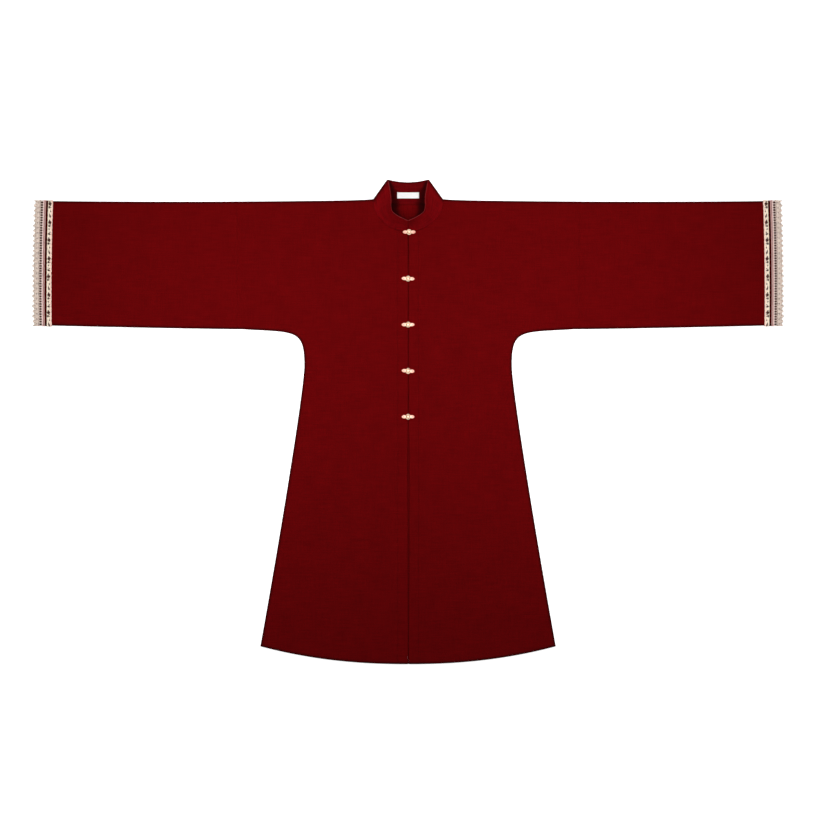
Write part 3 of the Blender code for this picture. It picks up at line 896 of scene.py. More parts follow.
def band_section(middle, normals, half_thickness, foot_roundness=1.0):
    """Wrap a grid into a closed band: up one side, round the edge and down the other."""
    half = np.broadcast_to(half_thickness, middle.shape[:2])[..., None]
    turn = np.radians([45, 0, -45])[:, None]

    def edge(column, neighbour, roundness):
        out = unit(middle[:, column] - middle[:, neighbour])[:, None]
        normal = normals[:, column][:, None]
        return (middle[:, column][:, None]
                + half[:, column][:, None] * (normal * np.sin(turn)
                                              + out * np.cos(turn) * roundness))

    rim = edge(-1, -2, 1.0)
    foot = edge(0, 1, foot_roundness)[:, ::-1]
    return np.concatenate([middle + normals * half, rim,
                           (middle - normals * half)[:, ::-1], foot], axis=1)


def band_uv(along, across):
    """The band's own coordinates in metres, the same on both its sides."""
    edge_high, edge_low = np.full(3, across[-1]), np.full(3, across[0])
    height = np.concatenate([across, edge_high, across[::-1], edge_low])
    return np.stack(np.broadcast_arrays(along[:, None], height[None, :]), axis=-1)


print("band helpers ready")

# %% Collar sections
COLLAR_THICK = 2.4 * MM
COLLAR_STEPS = 12
COLLAR_ROWS = 26
FOOT_ROUNDNESS = 0.25
RIM_ROLL = 3.6 * MM
GROOVE_WIDTH = 1.1 * MM
GROOVE_DEPTH = 0.35 * MM
# Half the band, from the centre back round the side fold to the opening, in millimetres
COLLAR_SECTIONS = np.array([
    # foot x,  y,     z,   rim x,  y,     z,   hang
    (0.0, -8.4, 2.75, 0.0, 44.4, 5.2, 0.2),
    (31.0, -7.6, 2.75, 25.0, 46.2, 6.2, 0.2),
    (60.0, -4.6, 2.8, 40.5, 48.8, 8.8, 0.2),
    (78.5, -0.8, 3.0, 46.8, 49.8, 11.4, 0.3),
    (83.8, 1.4, 3.9, 49.4, 49.2, 13.4, 0.4),
    (84.6, -2.6, 5.0, 47.2, 45.2, 16.4, 0.6),
    (81.0, -19.0, 5.2, 41.2, 11.0, 24.0, 2.0),
    (72.6, -36.8, 5.2, 40.4, -16.0, 27.0, 3.5),
    (54.0, -56.0, 5.2, 37.0, -28.2, 29.0, 5.5),
    (35.0, -66.3, 5.3, 24.0, -38.2, 31.0, 8.0),
    (16.0, -71.6, 5.4, 11.2, -44.8, 32.5, 10.0),
    (0.75, -73.0, 5.4, 0.75, -49.6, 33.0, 11.0),
]) * MM


def collar_section(position):
    """Foot, rim and hang at positions counted in rows of the table, on a Catmull-Rom curve."""
    mirrored = COLLAR_SECTIONS[1] * (-1, 1, 1, -1, 1, 1, 1)
    carried_on = 2 * COLLAR_SECTIONS[-1] - COLLAR_SECTIONS[-2]
    rows = np.concatenate([[mirrored], COLLAR_SECTIONS, [carried_on]])
    index = np.minimum(position.astype(int), len(COLLAR_SECTIONS) - 2)
    t = (position - index)[:, None]
    p0, p1, p2, p3 = (rows[index + k] for k in range(4))
    values = 0.5 * (2 * p1 + (p2 - p0) * t + (2 * p0 - 5 * p1 + 4 * p2 - p3) * t ** 2
                    + (3 * p1 - p0 - 3 * p2 + p3) * t ** 3)
    return values[:, :3], values[:, 3:6], values[:, 6:]


def collar_surface(position, height):
    """Points of the band's middle surface; height is 0 at its foot and 1 at its rim."""
    foot, rim, hang = collar_section(position)
    middle = (foot + rim) / 2 - hang * (0, 0, 1)
    h = height[None, :, None]
    foot, rim, middle = foot[:, None], rim[:, None], middle[:, None]
    return foot * (1 - h) ** 2 + 2 * middle * h * (1 - h) + rim * h ** 2


def whole_collar(height):
    """The band from the opening on the right, round the back, to the one on the left."""
    position = np.linspace(0, len(COLLAR_SECTIONS) - 1,
                           (len(COLLAR_SECTIONS) - 1) * COLLAR_STEPS + 1)
    left = collar_surface(position, height)
    right = (left * (-1, 1, 1))[:0:-1]
    return np.concatenate([right, left]) + (0, SHOULDER_Y, 0)


band = whole_collar(np.array([0.0, 1.0]))
collar_width = np.linalg.norm(band[:, 1] - band[:, 0], axis=1)

# %% Collar
inset = COLLAR_THICK / 2 / collar_width.mean()
heights = np.linspace(inset * FOOT_ROUNDNESS, 1 - inset, COLLAR_ROWS)
middle = whole_collar(heights)
normals = surface_normals(middle)
to_rim = (1 - heights) * collar_width[:, None]
groove = GROOVE_DEPTH * np.exp(-((to_rim - RIM_ROLL) / GROOVE_WIDTH) ** 2)
half_wall = COLLAR_THICK / 2 - groove
along = np.concatenate([[0], np.cumsum(np.linalg.norm(
    np.diff(middle[:, COLLAR_ROWS // 2], axis=0), axis=1))])
section = band_section(middle, normals, half_wall, FOOT_ROUNDNESS)
collar = closed_piece("collar_cloth", section, collar_cloth, "robe_cloth", "collar",
                      uv=band_uv(along, heights * collar_width.mean()))

# %% Collar piping
PIPING_RADIUS = 0.85 * MM
PIPING_SWELL = 1.1
PIPING_SIDES = 10

# Satin is smooth, so its round cord shows one soft line of light
piping_satin, _, _ = new_material("satin piping, red", Base_Color=linear("#7a1014"),
                                  Roughness=0.5, Specular_IOR_Level=0.2)
rim = whole_collar(np.array([0.94, 1.0]))
outward = unit(rim[:, 1] - rim[:, 0])
line = rim[:, 1] - outward * PIPING_RADIUS
aside = unit(np.cross(np.gradient(line, axis=0), outward))
angle = 2 * math.pi * np.arange(PIPING_SIDES) / PIPING_SIDES
tube = line[:, None] + PIPING_RADIUS * PIPING_SWELL * (
    outward[:, None] * np.cos(angle)[:, None] + aside[:, None] * np.sin(angle)[:, None])
piping = closed_piece("collar_piping", tube, piping_satin, "robe_cloth")

# %% [markdown]
# ## Painted shade along turned edges
#
# Two layers that are sewn and turned, or folded and pressed, end in a hard edge that rolls away
# from the light. Its shade is painted: the cloth's colour darkens along it into a narrow line.
# How many millimetres a vertex lies inside the reach of that line is kept at the vertex, and the
# cloth's material reads it. The same material then serves many pieces, with no image painted
# for each.

# %% Painted shade along turned edges
EDGE_SHADE_REACH = 7.5
COLLAR_EDGE_SHADE_REACH = 7.0
# Rows of the collar's table where its outline leaves the shoulder, and points along it
SHOULDER_ROW = 4
OUTLINE_POINTS = 30


def plan_points(piece):
    """Each vertex of a piece: distance from the centre line, place down the robe, height."""
    x, y, z = vertex_places(piece.data).T
    return np.abs(x), y - SHOULDER_Y, z


def mark_edge_shade(piece, reach, distance_from):
    """Keep at each vertex how many millimetres it lies inside the painted shade of a turned edge."""
    x, y, _ = plan_points(piece)
    keep_at_vertices(piece.data, "turned", reach - distance_from(x, y) / MM)


foot, rim, _ = collar_section(np.linspace(SHOULDER_ROW, 0, OUTLINE_POINTS))
collar_outline = np.concatenate([foot[:1, :2], rim[:, :2]])
for sheet in (*robe_halves.values(), *sleeves.values()):
    mark_edge_shade(sheet, EDGE_SHADE_REACH, edge_distance)
mark_edge_shade(collar, COLLAR_EDGE_SHADE_REACH, lambda x, y: line_distance(collar_outline, x, y))
print("turned edges marked on", len(robe_halves) + len(sleeves) + 1, "pieces")

# %% [markdown]
# ## Painted shade inside the neck
#
# Inside the neck the standing collar shades the cloth beside its rim, so the inside of the neck
# falls away into the dark there. That shade is painted: the cloth's colour is darkened beside the
# rim, and a little over the collar's inner side. The share of painted shade is kept at each
# vertex too.

# %% Painted shade inside the neck
# How far down the robe, and how far in from the rim the painted shade reaches there
NECK_SHADE_REACH = np.array([(-50, 3), (-42, 3.5), (-36, 5), (-30, 9), (-22, 16), (-14, 20),
                          (-6, 21.5), (6, 20), (24, 18), (32, 11), (50, 5.5)]) * MM
NECK_SHADE_MOST = 0.79
NECK_SHADE_POWER = 6.0
SHADED_LAYER_BELOW = 3.0 * MM
# Painted shade in the front opening's gap, on the back as far to each side as the opening shows it
OPENING_SHADE_SHARE = 0.22
OPENING_SHADE_WIDTH = 0.012
RIM_MARGIN = 1.5 * MM
# The least painted shade over the collar's inner side, inside its rim
COLLAR_INSIDE_SHADE = 0.28
RIM_POINTS = 60

_, front_rim, _ = collar_section(np.linspace(SHOULDER_ROW, len(COLLAR_SECTIONS) - 1, RIM_POINTS))
front_rim = front_rim[::-1, :2]


def paint_neck_shade(piece, shown, least=0.0):
    """Keep the share of painted shade at each vertex; shown picks those inside the neck."""
    x, y, z = plan_points(piece)
    near = shown(x, y, z) & (x < 2 * NECK_X) & (y > 2 * NECK_FRONT_Y)
    share = np.where(near, least, 0.0)
    reach = np.interp(y[near], *NECK_SHADE_REACH.T)
    distance = line_distance(front_rim, x[near], y[near])
    share[near] = lerp(least, NECK_SHADE_MOST, np.exp(-(distance / reach) ** NECK_SHADE_POWER))
    # Painted shade on the back layer along the front opening, below the neck
    in_opening = (z < SHADED_LAYER_BELOW) & (y < NECK_FRONT_Y) & (x < OPENING_SHADE_WIDTH)
    share[in_opening] = np.maximum(share[in_opening], OPENING_SHADE_SHARE)
    keep_at_vertices(piece.data, "crushed", share)
    print(piece.name, (share > 0.1).sum(), "vertices with painted shade")


def inside_rim(x, y, z):
    return x < np.interp(y, front_rim[:, 1], front_rim[:, 0]) - RIM_MARGIN


for sheet in (*robe_halves.values(), *strips.values()):
    paint_neck_shade(sheet, lambda x, y, z: z < SHADED_LAYER_BELOW)
paint_neck_shade(collar, inside_rim, COLLAR_INSIDE_SHADE)

# %% [markdown]
# ## The neck label
#
# A blank tape of white satin is folded under at its ends and sewn inside the back of the
# collar. It has its own slight wave, because only its ends are stitched down. The band helper
# that made the collar makes it too, thicker over the folded ends.

# %% Label material
# A Wave texture turns 20 radians in a unit, so this spaces the ribs 2 pi times 0.8 mm apart
RIB_RADIAN = 0.8 * MM
WAVE_RADIANS = 20
label_tape, tree, shader = new_material("woven satin tape, white", Roughness=0.45,
                                        Sheen_Weight=0.2, Specular_IOR_Level=0.9)
place = add_node(tree, "ShaderNodeTexCoord").outputs["UV"]
ribs = add_node(tree, "ShaderNodeTexWave",
                {"Vector": place, "Scale": 1 / RIB_RADIAN / WAVE_RADIANS, "Distortion": 0.4},
                bands_direction="Y")
soft = streaks(tree, place, (0.010, 0.004))
share = add_node(tree, "ShaderNodeMapRange", {"Value": soft, "From Min": 0.35, "From Max": 0.65})
colour = add_node(tree, "ShaderNodeMix", {0: share, 6: linear("#f7f5f1"), 7: linear("#ffffff")},
                  data_type="RGBA")
tree.links.new(colour.outputs[2], shader.inputs["Base Color"])
bump = add_node(tree, "ShaderNodeBump", {"Height": ribs.outputs["Fac"], "Distance": 0.05 * MM,
                                         "Strength": 0.4})
tree.links.new(bump.outputs[0], shader.inputs["Normal"])
print(label_tape.name)

# %% Label
LABEL_SIZE = (0.0576, 0.0184)
LABEL_INSET = np.array([2.6, 2.4]) * MM
LABEL_MIDDLE = 0.0128
LABEL_THICK = 0.7 * MM
LABEL_COLUMNS = 25
LABEL_ROWS = 10
LABEL_HEM = 4.0 * MM
LABEL_HEM_SWELL = 0.35
LABEL_WAVE = 0.25 * MM
LABEL_WAVE_TURNS = 260


def label_middle():
    """The tape's middle surface, raised off the inner face of the collar."""
    width, depth = np.array(LABEL_SIZE) - 2 * LABEL_INSET
    lift = COLLAR_THICK / 2 + SEAM_GAP + TRIM / 2
    x = np.linspace(-width / 2, width / 2, LABEL_COLUMNS)
    foot, rim, _ = collar_section(np.abs(x) / COLLAR_SECTIONS[1, 0])
    rows = []
    for edge_y in np.linspace(-depth / 2, depth / 2, LABEL_ROWS) + LABEL_MIDDLE:
        t = (edge_y - foot[:, 1]) / (rim[:, 1] - foot[:, 1])
        z = lerp(foot[:, 2], rim[:, 2], t) + lift
        wave = LABEL_WAVE * np.cos(math.pi * x / width) * math.sin(edge_y * LABEL_WAVE_TURNS)
        rows.append(np.stack([x, np.full_like(x, edge_y + SHOULDER_Y), z + wave], axis=1))
    return np.array(rows)


middle = label_middle().transpose(1, 0, 2)
from_end = LABEL_SIZE[0] / 2 - np.abs(middle[:, :1, 0])
hem = 1 + LABEL_HEM_SWELL * pressed_band(from_end, LABEL_HEM)
section = band_section(middle, surface_normals(middle), LABEL_THICK / 2 * hem)
label = closed_piece("neck_label_tape", section, label_tape, "label_tape", "neck_label",
                     uv=band_uv(middle[:, 0, 0], np.linspace(0, LABEL_SIZE[1], LABEL_ROWS)))

# %% [markdown]
# ## Things that repeat
#
# Lace, woven motifs and stitches come off machines, so two small Geometry Nodes trees make
# them. One sets a unit at even steps along a straight strip. The other follows a seam line
# and sets a stitch at every step, each leaning a little its own way, as sewn thread does.
# An Array modifier could set the units too, but it can't lean each one by itself. The inputs
# are named, so a seam can have its own pitch, length, thread and seed.


# %% Geometry Nodes helpers
def new_tree(name, **inputs):
    """A Geometry Nodes tree with named inputs, given by the kind of each one's socket."""
    tree = bpy.data.node_groups.new(name, "GeometryNodeTree")
    tree.interface.new_socket("Geometry", in_out="INPUT", socket_type="NodeSocketGeometry")
    tree.interface.new_socket("Geometry", in_out="OUTPUT", socket_type="NodeSocketGeometry")
    for field, kind in inputs.items():
        tree.interface.new_socket(field.replace("_", " "), in_out="INPUT",
                                  socket_type=f"NodeSocket{kind}")
    return tree, add_node(tree, "NodeGroupInput").outputs


def finish_tree(tree, instances, material):
    solid = add_node(tree, "GeometryNodeRealizeInstances", {0: instances})
    dressed = add_node(tree, "GeometryNodeSetMaterial", {0: solid, "Material": material})
    add_node(tree, "NodeGroupOutput", {0: dressed})


def run_tree(piece, tree, **values):
    """Give the tree its inputs and bake what it makes into the piece."""
    modifier = piece.modifiers.new(tree.name, "NODES")
    modifier.node_group = tree
    sockets = {item.name: item.identifier for item in tree.interface.items_tree
               if item.in_out == "INPUT"}
    for field, value in values.items():
        modifier[sockets[field.replace("_", " ")]] = value
    return bake_modifiers(piece)


print("tree helpers ready")

# %% Units along a strip
strip_tree, given = new_tree("units along a strip", Unit="Object", Count="Int", Pitch="Float",
                             Finish="Material")
step = add_node(strip_tree, "ShaderNodeCombineXYZ", {0: given["Pitch"]})
places = add_node(strip_tree, "GeometryNodeMeshLine",
                  {"Count": given["Count"], "Offset": step}, mode="OFFSET")
unit_mesh = add_node(strip_tree, "GeometryNodeObjectInfo", {"Object": given["Unit"]})
placed = add_node(strip_tree, "GeometryNodeInstanceOnPoints",
                  {"Points": places, "Instance": unit_mesh.outputs["Geometry"]})
finish_tree(strip_tree, placed, given["Finish"])
print(strip_tree.name, "has", len(strip_tree.nodes), "nodes")

# %% Stitches along a line
STITCH_SIDES = 6
STITCH_RINGS = 4

stitch_tree, given = new_tree("stitches along a line", Pitch="Float", Stitch="Float",
                              Thread="Float", Lean="Float", Seed="Int", Finish="Material")
line = add_node(stitch_tree, "GeometryNodeMeshToCurve", {0: given["Geometry"]})
line = add_node(stitch_tree, "GeometryNodeResampleCurve",
                {"Curve": line, "Length": given["Pitch"]}, mode="LENGTH")
along = add_node(stitch_tree, "FunctionNodeAlignRotationToVector",
                 {"Vector": add_node(stitch_tree, "GeometryNodeInputTangent")}, axis="X")
least = add_node(stitch_tree, "ShaderNodeMath", {0: given["Lean"], 1: -1.0},
                 operation="MULTIPLY")
lean = add_node(stitch_tree, "FunctionNodeRandomValue",
                {2: least, 3: given["Lean"], "Seed": given["Seed"]})
lean = add_node(stitch_tree, "ShaderNodeCombineXYZ", {2: lean.outputs[1]})
lean = add_node(stitch_tree, "FunctionNodeEulerToRotation", {0: lean})
turned = add_node(stitch_tree, "FunctionNodeRotateRotation", {0: along, 1: lean},
                  rotation_space="LOCAL")
half_length = add_node(stitch_tree, "ShaderNodeMath", {0: given["Stitch"], 1: 0.5},
                       operation="MULTIPLY")
size = add_node(stitch_tree, "ShaderNodeCombineXYZ",
                {0: half_length, 1: given["Thread"], 2: given["Thread"]})
stitch = add_node(stitch_tree, "GeometryNodeMeshUVSphere",
                  {"Segments": STITCH_SIDES, "Rings": STITCH_RINGS})
placed = add_node(stitch_tree, "GeometryNodeInstanceOnPoints",
                  {"Points": line, "Instance": stitch.outputs[0], "Rotation": turned,
                   "Scale": size})
finish_tree(stitch_tree, placed, given["Finish"])
print(stitch_tree.name, "has", len(stitch_tree.nodes), "nodes")

# %% [markdown]
# ## The seam stitches
#
# Polyester thread dyed to the cloth holds the front facings down and edges the collar, and a
# white one tacks the ends of the label. Each row lies in the groove that it has pulled.

# %% Sewing
STITCH_SINK = 0.3
STITCH_LEAN = 0.10

# Spun polyester is matt when it is dark, and shows a little light when it is white
red_thread, _, _ = new_material("polyester sewing thread, deep red",
                                Base_Color=linear("#4c0205"), Roughness=0.7,
                                Specular_IOR_Level=0.03)
white_thread, _, _ = new_material("polyester sewing thread, white",
                                  Base_Color=linear("#fbf9f5"), Roughness=0.5)


def sew(name, lines, thread, size, slot, seed):
    """Stitches along lines of points, resting in the surface that these lie on.

    size is the thread's radius, the pitch and the length of a stitch.
    """
    radius, pitch, stitch = size
    points = np.concatenate(lines) + (0, 0, radius * (1 - STITCH_SINK))
    counts = np.cumsum([0] + [len(line) for line in lines])
    edges = [(i, i + 1) for a, b in zip(counts, counts[1:]) for i in range(a, b - 1)]
    mesh = bpy.data.meshes.new(name)
    mesh.from_pydata(points.tolist(), edges, [])
    seam = new_piece(name, mesh, thread)
    run_tree(seam, stitch_tree, Pitch=pitch, Stitch=stitch, Thread=radius, Lean=STITCH_LEAN,
             Seed=seed, Finish=thread)
    seam.data.shade_smooth()
    return join_body(seam, slot)


print("threads:", red_thread.name, "and", white_thread.name)

# %% Rows of stitches
FACING_STITCH = (0.35 * MM, 3.6 * MM, 2.9 * MM)
COLLAR_STITCH = (0.30 * MM, 3.2 * MM, 2.6 * MM)
LABEL_STITCH = (0.22 * MM, 2.0 * MM, 1.5 * MM)
FACING_SEED = 7
COLLAR_SEED = 3
LABEL_SEED = 5
PLACKET_STITCH_X = 0.0245
PLACKET_STITCH_STEP = 10 * MM
TACK_INSET = 1.6 * MM

for side, word in SIDES:
    y = np.arange(NECK_FRONT_Y - TACK_INSET, hem_y(np.array(PLACKET_STITCH_X)) + TACK_INSET,
                  -PLACKET_STITCH_STEP)
    x = np.full_like(y, PLACKET_STITCH_X)
    z = front_z(x, y, side) + CLOTH / 2
    line = np.stack([side * x, y + SHOULDER_Y, z], axis=1)
    sew(f"facing_stitches_{word}", [line], red_thread, FACING_STITCH,
                                "robe_cloth", FACING_SEED + side)

rim_line = whole_collar(np.array([1 - RIM_ROLL / collar_width.mean()]))[:, 0]
rim_normal = surface_normals(whole_collar(np.linspace(0.85, 0.95, 3)))[:, 1]
upward = np.where(rim_normal[:, 2:] < 0, -rim_normal, rim_normal)
line = rim_line + upward * (COLLAR_THICK / 2 - GROOVE_DEPTH)
collar_stitches = sew("collar_stitches", [line], red_thread, COLLAR_STITCH, "robe_cloth",
                      COLLAR_SEED)

tape = label_middle()
ends = [tape[:, column] + (0, 0, LABEL_THICK / 2) for column in (1, -2)]
label_stitches = sew("label_stitches", ends, white_thread, LABEL_STITCH, "label_tape",
                     LABEL_SEED)

# %% [markdown]
# ## Round the cuff
#
# The braid and the lace are bands sewn round the flattened cuff. Each is made straight, as it
# comes off the reel, and then wrapped: over the front, round the fold at the shoulder line,
# back along the underside and round the sleeve's lower edge. A point of a straight band is how
# far it is along the band, how far across it, and how high above the band's middle. The
# bands are stiff, so they stand a little proud of the sleeve's fold, and the robe's weight
# presses them flat on the floor underneath. A Curve modifier could bend them as well, but the
# formula follows the slanted cuff and keeps every thread at its own height.


# %% Wrapping a band round the cuff
CUFF_CLOTH_RADIUS = (CLOTH + SEAM_GAP) / 2
CUFF_STAND_OFF = CLOTH / 2 + SEAM_GAP + TRIM / 2
FOLD_ROWS = 12
LACE_FREE_X = 0.8840
LACE_EDGE_X = 0.9005
LACE_DROOP = 2.0 * MM
FOLD_PROUD = 1.2 * MM
PRESSED_FLAT = 0.02 * MM


def cuff_ring(x):
    """The ring round the cuff at x: height of its middle, radius of its folds, both ends."""
    droop = LACE_DROOP * np.clip((x - LACE_FREE_X) / (LACE_EDGE_X - LACE_FREE_X), 0, 1)
    low = back_z(x) - CUFF_STAND_OFF
    high = low + 2 * (CUFF_CLOTH_RADIUS + CUFF_STAND_OFF) - droop
    top = fold_y(x) - CLOTH / 2 - CUFF_CLOTH_RADIUS
    return (high + low) / 2, (high - low) / 2, sleeve_bottom_y(x), top


def cuff_length(x):
    _, radius, bottom, top = cuff_ring(np.asarray(x))
    return 2 * (top - bottom) + 2 * math.pi * radius


def wrap_cuff(side, share, x, lift):
    """Points of a band round the cuff; share goes once round it from its lower front edge."""
    middle, radius, bottom, top = cuff_ring(x)
    face, fold = top - bottom, math.pi * radius
    run = share % 1 * 2 * (face + fold)
    behind = run > face + fold
    run = np.where(behind, run - face - fold, run)
    angle = np.clip((run - face) / fold, 0, 1) * math.pi + np.where(behind, math.pi, 0)
    straight = np.minimum(run, face)
    y = np.where(behind, top - straight, bottom + straight) + (radius + lift) * np.sin(angle)
    y = y + FOLD_PROUD * np.maximum(np.sin(angle), 0)
    z = np.maximum(middle + (radius + lift) * np.cos(angle), PRESSED_FLAT)
    return np.stack([side * (x + cuff_shift(y)), y + SHOULDER_Y, z], axis=-1)


def band_rows(x, rows):
    """Shares round the cuff for the sections of a ribbon, close together at both folds."""
    _, radius, bottom, top = cuff_ring(np.asarray(x))
    face, fold = top - bottom, math.pi * radius
    half = np.concatenate([np.linspace(0, face, rows, endpoint=False),
                           np.linspace(face, face + fold, FOLD_ROWS, endpoint=False)])
    return np.concatenate([half, half + face + fold]) / (2 * (face + fold))


print("once round the cuff:", round(float(cuff_length(0.858)), 4), "m")

# %% [markdown]
# ## Painted shade at the cuff
#
# Between the braid and the lace, and through the lace's ladder, the cuff lies in deep shade and
# shows almost black. A thin sheet of a very dark red under the trims paints that shade. It is
# the plainest band: a thin closed section, wrapped round the cuff.

# %% Dark sheet of painted shade at the cuff
SHADE_SHEET_FROM = 0.8620
SHADE_SHEET_TO = 0.8812
SHADE_SHEET_LIFT = -0.78 * MM
SHADE_SHEET_THICK = 0.2 * MM
SHADE_SHEET_ROWS = 100
SHADE_SHEET_COLUMNS = 5

# Matt and so dark a red, the sheet paints the shade between the pale trims almost black
dark_shade_cloth, _, _ = new_material("cotton binding tape, very dark red", Roughness=0.95,
                                  Base_Color=linear("#420604"), Specular_IOR_Level=0.02)
share = band_rows(SHADE_SHEET_FROM, SHADE_SHEET_ROWS)[:, None]
x = np.linspace(SHADE_SHEET_FROM, SHADE_SHEET_TO, SHADE_SHEET_COLUMNS)
x = np.concatenate([x, x[::-1]])[None, :]
lift = np.repeat([SHADE_SHEET_LIFT + SHADE_SHEET_THICK, SHADE_SHEET_LIFT], SHADE_SHEET_COLUMNS)[None, :]
shade_sheets = {word: closed_piece(f"cuff_binding_{word}", wrap_cuff(side, share, x, lift),
                               dark_shade_cloth, "robe_cloth", smooth_faces=False, looped=True)
            for side, word in SIDES}

# %% [markdown]
# ## Thread as geometry
#
# Machine lace and raised motifs are thread laid close in lines and leaves. Both are drawn here
# as strands: a path on the flat band, its width at each point, and its thickness. An image
# with holes on a flat ribbon is the quick way to make lace, but it has no depth, and the
# light can't catch the side of a thread.


# %% Strands
LEAF_END = 0.02
Strand = namedtuple("Strand", "rings tone")


def strand(path, width, thick=0.6, sides=6, lift=0.0, tone=1.0):
    """A closed strand along a path in millimetres; its width is one number or one per point."""
    path = np.asarray(path, dtype=float)
    width = np.broadcast_to(width, len(path))[:, None]
    along = unit(np.gradient(path, axis=0))
    across = np.stack([-along[:, 1], along[:, 0]], axis=1)
    angle = 2 * math.pi * np.arange(sides) / sides
    rings = path[:, None] + across[:, None] * (width * np.cos(angle) / 2)[..., None]
    heights = np.broadcast_to(lift + thick / 2 * np.sin(angle), rings.shape[:2])
    return Strand(np.concatenate([rings, heights[..., None]], axis=2), tone)


def leaf(root, angle, start, end, width, thick=0.7, steps=7, lift=0.0, tone=1.0):
    """A satin-stitched leaf, pointing away from its root at an angle from straight across."""
    t = (1 - np.cos(math.pi * np.linspace(0, 1, steps))) / 2
    direction = np.array([math.sin(angle), math.cos(angle)])
    path = np.asarray(root) + np.outer(lerp(start, end, t), direction)
    # Both ends stop just short of where the width would be nothing
    width = width * np.sqrt(np.sin(math.pi * lerp(LEAF_END, 1 - LEAF_END, t)))
    return strand(path, width, thick, lift=lift, tone=tone)


def strand_mesh(name, strands):
    """One mesh of many strands, in metres, that keeps each one's tone."""
    vertices, faces, tones = [], [], []
    for rings, tone in strands:
        first = len(vertices)
        rows, sides, _ = rings.shape
        vertices += (rings.reshape(-1, 3) * MM).tolist()
        tones += [tone] * (rows * sides)
        for i in range(rows - 1):
            for j in range(sides):
                a, b = first + i * sides + j, first + i * sides + (j + 1) % sides
                faces.append((a, b, b + sides, a + sides))
        faces.append([first + j for j in range(sides)][::-1])
        faces.append([first + (rows - 1) * sides + j for j in range(sides)])
    mesh = bpy.data.meshes.new(name)
    mesh.from_pydata(vertices, [], faces)
    keep_at_vertices(mesh, "tone", tones)
    face_outwards(mesh)
    return mesh


print("strand helpers ready")

# %% Bands of thread round the cuff


def make_band(name, unit_strands, side, count, inner_x, material, slot, *nodes, phase=0.0):
    """Repeat a unit along a straight band, then wrap the band round the cuff.

    phase is how far the whole band is slid along before it is sewn on.
    """
    unit_name = f"{name} unit"
    unit_piece = new_piece(unit_name, strand_mesh(unit_name, unit_strands), material)
    band = new_piece(name, bpy.data.meshes.new(name), material)
    pitch = float(cuff_length(inner_x)) / count
    run_tree(band, strip_tree, Unit=unit_piece, Count=count, Pitch=pitch, Finish=material)
    bpy.data.objects.remove(unit_piece)
    along, across, lift = vertex_places(band.data).T
    share = (along + phase) / (pitch * count)
    wrapped = wrap_cuff(side, share, inner_x + across, lift)
    band.data.vertices.foreach_set("co", wrapped.ravel())
    keep_at_vertices(band.data, "across", across / MM)
    face_outwards(band.data)
    band.data.shade_smooth()
    band.data.update()
    return join_body(band, slot, *nodes)


print("band helper ready")

# %% [markdown]
# ## The braid
#
# The braid is a cream ribbon 11 mm wide with a pink selvedge on the side of the arm. Both its
# edges are corded and softly waved. Its motifs are raised in dark brown thread: sprays of a
# round blossom, a few leaves and a small bud, two sprays to a repeat, on one thin stem. They
# are plain textile motifs, drawn for this robe. Cords and motifs stand up, so they are in the
# meshes, and only the fine weft ribs are left to a bump.

# %% Braid ribbon
BRAID_INNER_X = 0.8516
BRAID_WIDTH = 10.9 * MM
BRAID_LIFT = 0.30 * MM
SELVEDGE = 0.16 * MM
SELVEDGE_PITCH = 3.2 * MM
SCALLOP = 0.55 * MM
SCALLOP_COUNT = 53
SCALLOP_REACH = 1.3 * MM
CORD_INSET = 1.1 * MM
CORD_WIDTH = 0.7 * MM
CORD_LEAST = 0.4
EDGE_TURN = 0.6 * MM
BRAID_ROWS = 200
WEFT_RIB = 1.0 * MM
PINK_EDGE = 2.6
PINK_FADE = 0.5
BRAID_ACROSS = np.array([0.0, 0.2, 0.6, 1.1, 1.7, 2.2, 2.7, 3.8, 5.5, 7.2, 8.3, 8.9, 9.4,
                         10.0, 10.4, 10.7, 10.9]) * MM

# Rayon floats gather the gloss of many fine threads, so the index is set higher than rayon's
ribbon, tree, shader = new_material("woven rayon ribbon, cream with a pink selvedge",
                                    Roughness=0.45, Specular_IOR_Level=0.9, IOR=2.1)
place = add_node(tree, "ShaderNodeTexCoord").outputs["UV"]
axes = add_node(tree, "ShaderNodeSeparateXYZ", {0: place})
edge = add_node(tree, "ShaderNodeMapRange",
                {"Value": axes.outputs[1], "From Min": (PINK_EDGE - PINK_FADE) * MM,
                 "From Max": (PINK_EDGE + PINK_FADE) * MM})
yarn = streaks(tree, place, (9 * MM, 1.2 * MM))
cream = add_node(tree, "ShaderNodeMix",
                 {0: yarn, 6: linear("#ffdfba"), 7: linear("#ffecd2")}, data_type="RGBA")
colour = add_node(tree, "ShaderNodeMix",
                  {0: edge, 6: linear("#ffc4aa"), 7: cream.outputs[2]}, data_type="RGBA")
tree.links.new(colour.outputs[2], shader.inputs["Base Color"])
ribs = add_node(tree, "ShaderNodeMath", {0: axes.outputs[0], 1: 2 * math.pi / WEFT_RIB},
                operation="MULTIPLY")
ribs = add_node(tree, "ShaderNodeMath", {0: ribs}, operation="SINE")
bump = add_node(tree, "ShaderNodeBump", {"Height": ribs, "Distance": 0.06 * MM,
                                         "Strength": 0.6})
tree.links.new(bump.outputs[0], shader.inputs["Normal"])
print(ribbon.name)

# %% Braid ribbon round both cuffs


def side_of(across):
    """+1 at the ribbon's outer edge, -1 at its inner edge, and 0 between them."""
    return (np.exp(-(BRAID_WIDTH - across) / SCALLOP_REACH)
            - np.exp(-across / SCALLOP_REACH))


